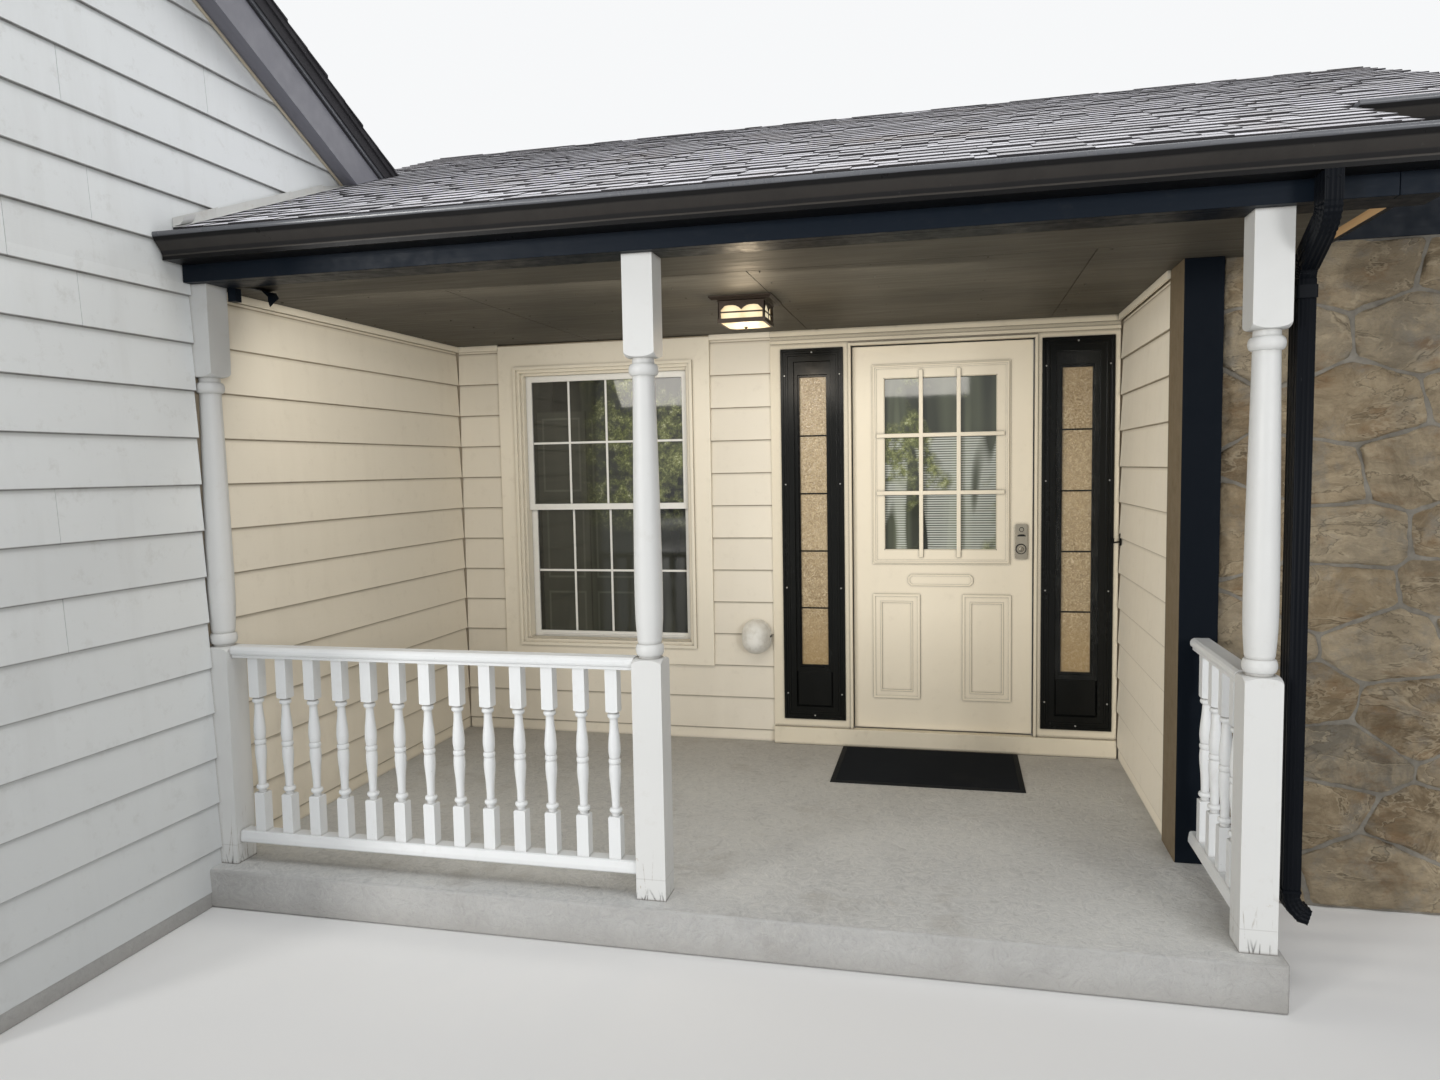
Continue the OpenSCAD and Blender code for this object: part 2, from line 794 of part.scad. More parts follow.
// One sash, as a frame with a pane's opening
module sash(z0, z1) {
    difference() {
        rect(sash_x0, sash_x1, z0, z1);
        rect(sash_x0 + sash_w, sash_x1 - sash_w, z0 + sash_w, z1 - sash_w);
    }
}

module sashes() {
    color(white) {
        along_y(upper_sash_y, upper_sash_y + sash_t)
            sash(meet_z - sash_w / 2, sash_z1);
        along_y(lower_sash_y, lower_sash_y + sash_t)
            sash(sash_z0, meet_z + sash_w / 2);
    }
}

module window_glass() {
    y0 = sash_t / 2 - 3;
    color(dark_glass) {
        block(sash_x0 + sash_w, sash_x1 - sash_w, upper_sash_y + y0, upper_sash_y + y0 + 6,
            meet_z + sash_w / 2, sash_z1 - sash_w);
        block(sash_x0 + sash_w, sash_x1 - sash_w, lower_sash_y + y0, lower_sash_y + y0 + 6,
            sash_z0 + sash_w, meet_z - sash_w / 2);
    }
}

// The frame of the door unit, with a bead round the door and a stepped head
module door_frame() {
    color(white) {
        along_y(frame_y, door_back)
            difference() {
                rect(unit_x0, unit_x1, sill_z, head_top);
                for (x = lights)
                    rect(x[0], x[1], light_z0, light_top);
                rect(open_x0, open_x1, sill_z - eps, open_top);
            }
        along_y(frame_y - 8, frame_y + 5)
            difference() {
                rect(open_x0 - 13, open_x1 + 13, sill_z, open_top + 13);
                rect(open_x0, open_x1, sill_z - eps, open_top);
            }
        along_y(back_y - 6, core_y)
            rect(unit_x0, unit_x1, head_top - 20, ceil_z);
        along_y(frame_y - 8, back_y)
            rect(unit_x0, unit_x1, ceil_z - 30, ceil_z);
        along_y(frame_y - 14, back_y)
            rect(unit_x0, unit_x1 - 1, head_top - 12, head_top + 4);
    }
}

module threshold() {
    color(white)
        block(unit_x0, unit_x1, frame_y - 20, door_back, floor_z, sill_z);
}

// Black storm frame with a raised rim, over a sash with a long pane and a low panel
module sidelight_frames() {
    y = frame_y;
    color(black)
        for (x = lights) {
            mid = (x[0] + x[1]) / 2;
            along_y(y - 6, y)
                ring(x[0], x[1], light_z0, light_top, 0, 14);
            along_y(y - 4, y)
                ring(x[0], x[1], light_z0, light_top, 26, 12);
            along_y(y, y + storm_t)
                ring(x[0], x[1], light_z0, light_top, 0, storm_w);
            along_y(y + storm_t, door_back)
                difference() {
                    rect(x[0], x[1], light_z0, light_top);
                    rect(mid - lite_w / 2, mid + lite_w / 2, lite_z0, lite_top);
                }
            along_y(y + 10, y + storm_t)
                rect(x[0] + storm_w + 8, x[1] - storm_w - 8, light_z0 + storm_w + 8,
                    light_z0 + 256);
            along_y(y + 16, y + storm_t)
                difference() {
                    rect(x[0] + storm_w, x[1] - storm_w, light_z0 + 256, light_top - storm_w);
                    rect(mid - lite_w / 2 - 8, mid + lite_w / 2 + 8, lite_z0 - 12, lite_top + 12);
                }
        }
}

module sidelight_glass() {
    color(amber)
        for (x = lights) {
            mid = (x[0] + x[1]) / 2;
            block(mid - lite_w / 2, mid + lite_w / 2, frame_y + storm_t + 12, frame_y + storm_t + 18,
                lite_z0, lite_top);
        }
}

module hinge_leaves() {
    color(steel)
        for (z = hinge_zs)
            block(open_x0 - 42, open_x0 - 6, door_back, door_back + 3, z, z + 100);
}

light_x = unit_x0 + 81;
light_y = back_y / 2 - 32;

// Outline of one arched opening in a side of the lamp's body
module lamp_arch(x, w, z0, z1) {
    rise = w * 0.32;
    arc = [for (t = [0 : 18 : 180]) [x + w / 2 * cos(t), z1 - rise + rise * sin(t)]];
    polygon(concat([[x - w / 2, z0], [x + w / 2, z0]], arc));
}

// Two arched lights, each over a low square one
module lamp_side(b) {
    z0 = ceil_z - 98;
    z1 = ceil_z - 32;
    w = b - 14;
    for (x = [-b / 2 + 3, b / 2 - 3]) {
        rect(x - w / 2, x + w / 2, z0, z0 + 24);
        lamp_arch(x, w, z0 + 30, z1);
    }
}

module porch_light() {
    p = light_plate_w / 2;
    b = light_w / 2;
    g = b - 11;
    color(bronze)
        translate([light_x, light_y, 0]) {
            block(-p, p, -p, p, ceil_z - 8, ceil_z);
            block(-p + 14, p - 14, -p + 14, p - 14, ceil_z - 20, ceil_z - 8);
            difference() {
                block(-b, b, -b, b, ceil_z - 108, ceil_z - 20);
                block(-g, g, -g, g, ceil_z - 112, ceil_z - 26);
                along_y(-b - eps, b + eps)
                    lamp_side(b);
                along_x(-b - eps, b + eps)
                    lamp_side(b);
            }
            translate([0, 0, ceil_z - 128])
                cylinder(r = 7, h = 12);
        }
}

// Glass inside the lamp, with a shallow bowl below
module light_glass() {
    g = light_w / 2 - 11;
    color([1, 0.9, 0.7])
        translate([light_x, light_y, 0]) {
            block(-g, g, -g, g, ceil_z - 108, ceil_z - 26);
            intersection() {
                along_x(-g, g)
                    polygon([[-g, ceil_z - 108], [-g * 0.6, ceil_z - 116], [g * 0.6, ceil_z - 116],
                        [g, ceil_z - 108]]);
                along_y(-g, g)
                    polygon([[-g, ceil_z - 108], [-g * 0.6, ceil_z - 116], [g * 0.6, ceil_z - 116],
                        [g, ceil_z - 108]]);
            }
        }
}

module faucet_cover() {
    r = cover_w / 2;
    dome = [for (t = [0 : 10 : 90]) [r * cos(t), 30 + 90 * sin(t)]];
    color(white)
        translate([unit_x0 - 95, back_y, floor_z + 586])
            rotate([90, 0, 0])
                hull()
                    for (s = [-15, 15])
                        translate([0, s, 0])
                            rotate_extrude($fn = 32)
                                polygon(concat([[0, 0], [r, 0]], dome));
}

module door_mat() {
    x = door_x + door_w / 2 - 65;
    y = frame_y - 26;
    color(black)
        block(x - mat_w / 2, x + mat_w / 2, y - mat_d, y, floor_z, floor_z + 10);
}

module door_slab() {
    color(white)
        difference() {
            block(door_x, door_x1, door_y, door_back, door_z, door_top);
            block(glass_x0, glass_x0 + glass_w, door_y - eps, door_back + eps,
                glass_z0, glass_z0 + glass_h);
        }
}

module door_glass() {
    color(dark_glass)
        block(glass_x0, glass_x0 + glass_w, door_y + 19, door_y + 25, glass_z0, glass_z0 + glass_h);
}

// Outline of the letter slot's plate, with its corners cut off
function slot_plate(x0, x1, z0, z1, c) =
    [[x0 + c, z0], [x1 - c, z0], [x1, z0 + c], [x1, z1 - c], [x1 - c, z1], [x0 + c, z1],
        [x0, z1 - c], [x0, z0 + c]];

// Raised mouldings on one face of the door, running out from the face by the given heights
module face_trim(face, out) {
    x0 = glass_x0 - 62;
    x1 = glass_x0 + glass_w + 68;
    z0 = glass_z0 - 76;
    z1 = glass_z0 + glass_h + 72;
    slot_x = glass_x0 + 123;
    slot_z = glass_z0 - 189;
    steps = [[0, 8, 5], [8, 8, 12], [16, 8, 9]];
    for (h = steps)
        raised(face, out, h[2])
            ring(x0, x1, z0, z1, h[0], h[1]);
    raised(face, out, 6)
        difference() {
            rect(x0 + 24, x1 - 24, z0 + 24, z1 - 24);
            rect(glass_x0, glass_x0 + glass_w, glass_z0, glass_z0 + glass_h);
        }
    for (x = panel_x) {
        raised(face, out, 7)
            ring(x, x + panel_w, panel_z, panel_z + panel_h, 0, 12);
        raised(face, out, 3)
            ring(x, x + panel_w, panel_z, panel_z + panel_h, 12, 26);
        raised(face, out, 5)
            ring(x, x + panel_w, panel_z, panel_z + panel_h, 38, 8);
    }
    raised(face, out, 3)
        polygon(slot_plate(slot_x + 8, slot_x + 324, slot_z + 8, slot_z + 52, 12));
    raised(face, out, 6)
        difference() {
            polygon(slot_plate(slot_x, slot_x + 332, slot_z, slot_z + 60, 16));
            polygon(slot_plate(slot_x + 8, slot_x + 324, slot_z + 8, slot_z + 52, 12));
        }
}

// A flat outline raised from a face of the door
module raised(face, out, h) {
    along_y(out > 0 ? face : face - h, out > 0 ? face + h : face)
        children();
}

module door_trim() {
    color(white) {
        face_trim(door_y, -1);
        face_trim(door_back, 1);
    }
}

// A plate with rounded corners, standing upright
module round_plate(w, h, t, r) {
    rotate([90, 0, 0])
        linear_extrude(t)
            hull()
                for (x = [-w / 2 + r, w / 2 - r], z = [r, h - r])
                    translate([x, z])
                        circle(r = r, $fn = 32);
}

module door_lock() {
    x = door_x1 - 54;
    z = door_z + door_low_h - 45;
    color(steel) {
        translate([x, door_y, z])
            round_plate(60, 179, 10, 8);
        translate([x - 3, door_y - 10, z + 52])
            rotate([90, 0, 0])
                cylinder(r = 21, h = 12);
        translate([x - 3, door_y - 22, z + 52])
            rotate([90, 0, 0])
                cylinder(r = 15, h = 6);
        block(x - 20, x + 20, door_y - 22, door_y - 10, z + 128, z + 136);
        translate([x, door_y - 10, z + 152])
            rotate([90, 0, 0])
                cylinder(r = 9, h = 6);
        translate([x, door_back + 8, z + 30])
            round_plate(56, 120, 8, 8);
        translate([x, door_back + 8, z + 70])
            rotate([-90, 0, 0])
                cylinder(r = 12, h = 30);
        translate([x, door_back + 38, z + 70])
            rotate([-90, 0, 0])
                cylinder(r = 26, h = 24);
    }
}

module door_hinges() {
    color(steel)
        for (z = hinge_zs) {
            translate([hinge_x, hinge_y, z])
                cylinder(r = hinge_r, h = 100);
            block(door_x + 1, door_x + 42, door_back, door_back + 3, z, z + 100);
        }
}

slab();
left_wall();
back_wall();
back_wall_over();
right_wall();
front_wall();
left_siding();
side_siding();
back_siding();
bay_trim();
stone_facing();
frieze();
pilaster();
posts();
rails();
balusters();
beam();
fascia();
ceiling();
roof_deck();
shingles();
step_flashing();
rake_board();
wing_roof();
gutters();
downspout();
eave_boards();
window_casing();
window_frame();
sashes();
window_glass();
door_frame();
threshold();
sidelight_frames();
sidelight_glass();
hinge_leaves();
porch_light();
light_glass();
faucet_cover();
door_mat();
door_slab();
door_glass();
door_trim();
door_lock();
door_hinges();
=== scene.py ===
"""Looks of the entrance porch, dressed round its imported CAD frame."""
import json
import math
import random

import bmesh
import bpy
from mathutils import Matrix, Vector, noise


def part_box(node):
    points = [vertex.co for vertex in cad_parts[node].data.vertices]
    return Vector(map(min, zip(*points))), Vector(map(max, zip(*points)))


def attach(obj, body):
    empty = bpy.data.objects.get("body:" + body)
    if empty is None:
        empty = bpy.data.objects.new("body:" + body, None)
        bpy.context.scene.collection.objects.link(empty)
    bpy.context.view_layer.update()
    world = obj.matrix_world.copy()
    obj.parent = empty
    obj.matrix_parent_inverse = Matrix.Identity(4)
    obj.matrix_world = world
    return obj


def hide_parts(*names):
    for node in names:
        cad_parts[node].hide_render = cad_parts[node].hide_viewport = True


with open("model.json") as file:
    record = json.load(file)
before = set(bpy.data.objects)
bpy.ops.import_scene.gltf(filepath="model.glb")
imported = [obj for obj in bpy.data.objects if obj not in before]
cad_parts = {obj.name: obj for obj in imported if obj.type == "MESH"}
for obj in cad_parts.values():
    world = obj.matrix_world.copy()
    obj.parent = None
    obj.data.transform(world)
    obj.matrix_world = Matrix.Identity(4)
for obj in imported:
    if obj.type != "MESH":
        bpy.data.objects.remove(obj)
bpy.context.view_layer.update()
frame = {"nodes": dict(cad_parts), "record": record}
rng = random.Random(20)
NODES = frame["nodes"]
HOUSE, DOOR = "house", "door"


# Reading the CAD frame

def lo(node):
    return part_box(node)[0]


def hi(node):
    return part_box(node)[1]


def solids(node, axis=0):
    """Boxes (low corner, high corner) of a CAD node's separate solids, in order along an axis."""
    mesh = NODES[node].data
    keys = [tuple(round(c, 5) for c in v.co) for v in mesh.vertices]
    group = {k: k for k in keys}

    def root(k):
        while group[k] != k:
            group[k] = group[group[k]]
            k = group[k]
        return k

    for poly in mesh.polygons:
        first = keys[poly.vertices[0]]
        for i in poly.vertices[1:]:
            group[root(keys[i])] = root(first)
    found = {}
    for k in group:
        found.setdefault(root(k), []).append(k)
    boxes = [[Vector([pick(p[i] for p in points) for i in range(3)]) for pick in (min, max)]
        for points in found.values()]
    return sorted(boxes, key=lambda b: b[0][axis])


# Materials

class Paint:
    """One node material, built on the object's own coordinates."""

    def __init__(self, name, metallic=0.0, specular=0.5):
        self.material = bpy.data.materials.new(name)
        self.material.use_nodes = True
        tree = self.material.node_tree
        self.tree_nodes, self.links = tree.nodes, tree.links
        self.shader = tree.nodes["Principled BSDF"]
        self.shader.inputs["Metallic"].default_value = metallic
        self.shader.inputs["Specular IOR Level"].default_value = specular
        self.at = self.new("TexCoord").outputs["Object"]
        self.normal = None

    def new(self, kind):
        return self.tree_nodes.new("ShaderNode" + kind)

    def plug(self, socket, value):
        if hasattr(value, "is_output"):
            self.links.new(value, socket)
        elif isinstance(value, (tuple, list)) and len(value) == 3 and socket.type == "RGBA":
            socket.default_value = (*value, 1.0)
        else:
            socket.default_value = value

    def mapped(self, stretch):
        node = self.new("Mapping")
        self.links.new(self.at, node.inputs["Vector"])
        node.inputs["Scale"].default_value = stretch
        return node.outputs["Vector"]

    def noise(self, scale, detail=4.0, rough=0.55, stretch=(1, 1, 1), twist=0.0):
        node = self.new("TexNoise")
        self.links.new(self.mapped(stretch), node.inputs["Vector"])
        for socket, value in (("Scale", scale), ("Detail", detail), ("Roughness", rough),
                ("Distortion", twist)):
            node.inputs[socket].default_value = value
        return node.outputs["Fac"]

    def cells(self, scale, feature, stretch=(1, 1, 1)):
        node = self.new("TexVoronoi")
        node.feature = feature
        self.links.new(self.mapped(stretch), node.inputs["Vector"])
        node.inputs["Scale"].default_value = scale
        return node.outputs["Distance"]

    def place(self, axis):
        node = self.new("SeparateXYZ")
        self.links.new(self.at, node.inputs["Vector"])
        return node.outputs[axis]

    def height(self):
        return self.place("Z")

    def distance(self, point):
        node = self.new("VectorMath")
        node.operation = "DISTANCE"
        self.links.new(self.at, node.inputs[0])
        node.inputs[1].default_value = point
        return node.outputs["Value"]

    def crease_shade(self, reach, strength):
        """Painted shade in corners and grooves, from ambient occlusion: strength deep in a corner, 0 on
        open faces.
        """
        node = self.new("AmbientOcclusion")
        node.samples = 4
        node.inputs["Distance"].default_value = reach
        return self.span(node.outputs["AO"], 0.45, 0.92, strength, 0.0)

    def island(self):
        return self.new("NewGeometry").outputs["Random Per Island"]

    def maths(self, kind, a, b=0.0):
        node = self.new("Math")
        node.operation = kind
        self.plug(node.inputs[0], a)
        self.plug(node.inputs[1], b)
        return node.outputs["Value"]

    def times(self, a, b):
        return self.maths("MULTIPLY", a, b)

    def minus(self, a, b):
        return self.maths("SUBTRACT", a, b)

    def off(self, value, centre):
        """How far a value lies from a centre, either way."""
        return self.maths("ABSOLUTE", self.minus(value, centre))

    def span(self, value, low, high, to_low=0.0, to_high=1.0):
        node = self.new("MapRange")
        self.plug(node.inputs["Value"], value)
        for name, v in zip(("From Min", "From Max", "To Min", "To Max"), (low, high, to_low, to_high)):
            node.inputs[name].default_value = v
        return node.outputs["Result"]

    def ramp(self, value, *stops):
        node = self.new("ValToRGB")
        self.plug(node.inputs["Fac"], value)
        points = node.color_ramp.elements
        while len(points) < len(stops):
            points.new(0.5)
        for point, (place, colour) in zip(points, stops):
            point.position = place
            point.color = (*colour, 1.0)
        return node.outputs["Color"]

    def mix(self, fac, a, b, blend="MIX"):
        node = self.new("Mix")
        node.data_type = "RGBA"
        node.blend_type = blend
        self.plug(node.inputs[0], fac)
        self.plug(node.inputs[6], a)
        self.plug(node.inputs[7], b)
        return node.outputs[2]

    def wash(self, tone, value, low, high, most, colour):
        """Lays a colour over a tone: none of it where the value is low, most where it is high."""
        return self.mix(self.span(value, low, high, 0.0, most), tone, colour)

    def fade(self, tone, value, low, high, most, colour):
        """Lays a colour over a tone: most of it where the value is low, none where it is high."""
        return self.mix(self.span(value, low, high, most, 0.0), tone, colour)

    def bump(self, height, strength, distance):
        node = self.new("Bump")
        node.inputs["Strength"].default_value = strength
        node.inputs["Distance"].default_value = distance
        self.links.new(height, node.inputs["Height"])
        if self.normal is not None:
            self.links.new(self.normal, node.inputs["Normal"])
        self.normal = node.outputs["Normal"]

    def finish(self, colour, value, smooth, coarse, low=0.3, high=0.7):
        """The material, with a roughness that runs from smooth to coarse as the value rises."""
        self.links.new(colour, self.shader.inputs["Base Color"])
        self.links.new(self.span(value, low, high, smooth, coarse), self.shader.inputs["Roughness"])
        if self.normal is not None:
            self.links.new(self.normal, self.shader.inputs["Normal"])
        return self.material


def shade(colour, factor):
    return tuple(min(c * factor, 1.0) for c in colour)


# Lapped siding: where the lowest course starts, and the height of a course
FIRST_COURSE, COURSE = 0.037, 0.177


def painted(name, colour, rough=0.5, vary=0.05, island=0.0, dirt=0.25, grime_and_shade=(0.30, 0.27, 0.22),
        grain=(1, 1, 1), grain_scale=60.0, grain_bump=0.12, specular=0.4, streaks=0.0, lap_shade_colour=None,
        crease_shading=0.0, low_shade=0.0):
    """Painted boards and metal: slow colour drift, thin dirt, brush or grain marks in the bump; where
    asked, painted shade in creases, painted shadow lines under the siding laps, and painted shade growing
    towards the bottom.
    """
    p = Paint(name, specular=specular)
    drift = p.noise(1.3, 5, 0.6)
    tone = p.mix(drift, shade(colour, 1 - vary), shade(colour, 1 + vary))
    if island:
        low = (1 - island,) * 3
        tone = p.mix(1.0, tone, p.ramp(p.island(), (0.0, low), (1.0, (1, 1, 1))), "MULTIPLY")
    specks = p.noise(14, 9, 0.72)
    tone = p.wash(tone, specks, 0.56, 0.80, dirt, grime_and_shade)
    if streaks:
        runs = p.noise(7, 6, 0.6, stretch=(1, 1, 0.12))
        tone = p.wash(tone, runs, 0.52, 0.78, streaks, grime_and_shade)
    if crease_shading:
        # painted shade in creases and corners, in a darkened grime colour
        tone = p.mix(p.crease_shade(0.016, crease_shading), tone, shade(grime_and_shade, 0.22))
    if lap_shade_colour:
        # painted shadow under each lap: a soft shaded band below each board's butt and a dark line along
        # the butt
        place = p.maths("FLOORED_MODULO", p.maths("ADD", p.height(), COURSE / 2 - FIRST_COURSE), COURSE)
        rise = p.minus(place, COURSE / 2)
        lap_shadow_band = p.times(p.span(rise, -0.0150, -0.0040, 0.0, 0.30), p.span(rise, -0.001, 0.0, 1.0, 0.0))
        tone = p.mix(lap_shadow_band, tone, shade(lap_shade_colour, 0.8))
        butt_shadow_line = p.span(p.maths("ABSOLUTE", rise), 0.0012, 0.0042, 0.9, 0.0)
        tone = p.mix(p.times(butt_shadow_line, p.span(specks, 0.25, 0.6, 0.7, 1.0)), tone, lap_shade_colour)
    if low_shade:
        # painted shade: the boards grow darker towards the bottom of the wall
        tone = p.fade(tone, p.height(), 0.1, 1.9, low_shade, shade(colour, 0.42))
    marks = p.noise(grain_scale, 6, 0.6, stretch=grain)
    p.bump(marks, grain_bump, 0.004)
    p.bump(p.noise(420, 2, 0.5), 0.05, 0.001)
    return p.finish(tone, p.noise(22, 5), rough - 0.07, rough + 0.09)


def dark_with_reflected_side(name, colour, reflected_colour, side_x):
    """Trim painted dark in front; its face towards the porch is a paler warm taupe, a painted reflection of
    warm light.
    """
    p = Paint(name, specular=0.06)
    front = p.mix(p.noise(1.3, 5, 0.6), shade(colour, 0.88), shade(colour, 1.12))
    grain = p.noise(44, 6, 0.6, stretch=(1, 1, 0.12))
    side = p.mix(grain, shade(reflected_colour, 0.86), shade(reflected_colour, 1.1))
    specks = p.noise(14, 9, 0.72)
    side = p.wash(side, specks, 0.54, 0.8, 0.4, shade(reflected_colour, 0.45))
    # painted reflection: the face towards the porch is paler and warmer than the dark front
    tone = p.mix(p.span(p.place("X"), side_x + 0.0010, side_x + 0.0022, 1.0, 0.0), front, side)
    p.bump(grain, 0.15, 0.004)
    return p.finish(tone, specks, 0.42, 0.58)


def cracked_paint(name, colour):
    """White post paint with fine upright cracks, chips to bare wood near the floor, a base joint, and
    painted shade in its creases.
    """
    p = Paint(name, specular=0.45)
    base = p.mix(p.noise(2.1, 5), shade(colour, 0.93), shade(colour, 1.03))
    base = p.wash(base, p.noise(11, 9, 0.75), 0.58, 0.8, 0.3, (0.42, 0.38, 0.32))
    low = p.span(p.height(), 0.20, 0.42, 1.0, 0.0)
    crack = p.cells(26, "DISTANCE_TO_EDGE", stretch=(1, 1, 0.09))
    line = p.span(crack, 0.0, 0.035, 1.0, 0.0)
    patch = p.span(p.noise(8, 6, 0.7), 0.50, 0.62)
    chips = p.times(p.times(line, patch), low)
    base = p.mix(chips, base, (0.20, 0.15, 0.10))
    bare = p.times(p.span(p.noise(19, 8, 0.7), 0.64, 0.68), low)
    base = p.mix(bare, base, (0.36, 0.29, 0.21))
    gap = p.off(p.height(), BASE_JOINT)
    joint = p.span(gap, 0.0008, 0.0022, 0.35, 0.0)
    base = p.mix(joint, base, (0.30, 0.29, 0.28))
    foot = p.times(p.span(p.height(), 0.158, 0.200, 1.0, 0.0),
        p.span(p.cells(34, "DISTANCE_TO_EDGE", stretch=(1, 1, 0.22)), 0.0, 0.06, 1.0, 0.0))
    base = p.mix(p.times(foot, p.span(p.noise(13, 6, 0.7), 0.42, 0.52)), base, (0.045, 0.042, 0.042))
    base = p.fade(base, p.height(), 0.150, 0.156, 0.85, (0.04, 0.037, 0.035))
    # painted shade in the post's creases
    base = p.mix(p.crease_shade(0.012, 0.55), base, (0.20, 0.18, 0.15))
    p.bump(p.maths("ADD", chips, joint), -0.4, 0.003)
    p.bump(p.noise(70, 5, 0.6, stretch=(1, 1, 0.1)), 0.07, 0.003)
    return p.finish(base, p.noise(22, 5), 0.40, 0.55)


def rail_paint(name, colour):
    """White rail and baluster paint: thick brush coats, hairline wear and painted shade in the creases."""
    p = Paint(name, specular=0.45)
    base = p.mix(p.noise(2.1, 5), shade(colour, 0.94), shade(colour, 1.03))
    base = p.wash(base, p.noise(12, 9, 0.75), 0.56, 0.8, 0.28, (0.42, 0.39, 0.34))
    specks = p.span(p.noise(95, 4, 0.7), 0.70, 0.74)
    base = p.mix(p.times(specks, 0.7), base, (0.24, 0.21, 0.17))
    # painted shade in the creases
    base = p.mix(p.crease_shade(0.010, 0.5), base, (0.22, 0.20, 0.17))
    p.bump(p.noise(60, 5, 0.6, stretch=(1, 1, 0.3)), 0.10, 0.003)
    return p.finish(base, p.noise(22, 5), 0.36, 0.52)


# Places that weathering is measured from
RIGHT_EDGE, STEP_FRONT, LEFT_END = hi("slab").x, lo("slab").y, lo("ceiling").x
BASE_JOINT = 0.226


def concrete(name):
    """Trowelled concrete: clouds and strokes, damp along the right edge, a dirty riser."""
    p = Paint(name, specular=0.3)
    cloud = p.noise(1.1, 7, 0.62, twist=0.6)
    tone = p.ramp(cloud, (0.25, (0.42, 0.425, 0.425)), (0.5, (0.53, 0.535, 0.53)),
        (0.78, (0.61, 0.615, 0.60)))
    swirl = p.noise(16, 7, 0.62, twist=3.2)
    tone = p.wash(tone, swirl, 0.42, 0.66, 0.55, (0.66, 0.655, 0.63))
    tone = p.fade(tone, swirl, 0.22, 0.44, 0.45, (0.27, 0.265, 0.255))
    strokes = p.off(p.noise(5.5, 3, 0.5, twist=2.6), 0.5)
    tone = p.fade(tone, strokes, 0.0, 0.012, 0.40, (0.72, 0.715, 0.69))
    tone = p.wash(tone, p.place("Y"), 1.2, 2.0, 0.30, (0.36, 0.31, 0.25))
    edge = p.span(p.noise(2.6, 6, 0.65), 0.35, 0.65, -0.10, 0.12)
    damp = p.span(p.maths("ADD", p.place("X"), edge), RIGHT_EDGE - 0.26, RIGHT_EDGE - 0.04)
    tone = p.mix(p.times(damp, 0.45), tone, (0.24, 0.22, 0.195))
    tone = p.wash(tone, p.noise(240, 3, 0.7), 0.55, 0.72, 0.45, (0.24, 0.22, 0.20))
    stain = p.times(p.span(p.noise(3.3, 8, 0.7), 0.56, 0.72), 0.35)
    tone = p.mix(stain, tone, (0.27, 0.24, 0.20))
    tone = p.fade(tone, p.height(), 0.0, 0.085, 0.55, (0.30, 0.28, 0.25))
    riser = p.times(p.span(p.place("Y"), STEP_FRONT + 0.004, STEP_FRONT + 0.012, 1.0, 0.0),
        p.span(p.noise(4, 7, 0.65), 0.2, 0.7, 0.75, 0.5))
    tone = p.mix(riser, tone, (0.27, 0.265, 0.255))
    p.bump(swirl, 0.6, 0.008)
    p.bump(p.noise(260, 4, 0.7), 0.35, 0.002)
    return p.finish(tone, cloud, 0.72, 0.88)


def sheathing(name):
    """Plain sheets on the cut faces of the walls, with an upright grain."""
    p = Paint(name, specular=0.25)
    grain = p.noise(10, 8, 0.65, stretch=(1, 1, 0.08), twist=0.4)
    tone = p.ramp(grain, (0.3, (0.47, 0.38, 0.27)), (0.55, (0.60, 0.51, 0.38)), (0.8, (0.68, 0.60, 0.47)))
    tone = p.wash(tone, p.noise(1.6, 5), 0.4, 0.75, 0.35, (0.50, 0.43, 0.33))
    p.bump(grain, 0.25, 0.003)
    p.bump(p.noise(180, 4), 0.2, 0.001)
    return p.finish(tone, grain, 0.62, 0.8)


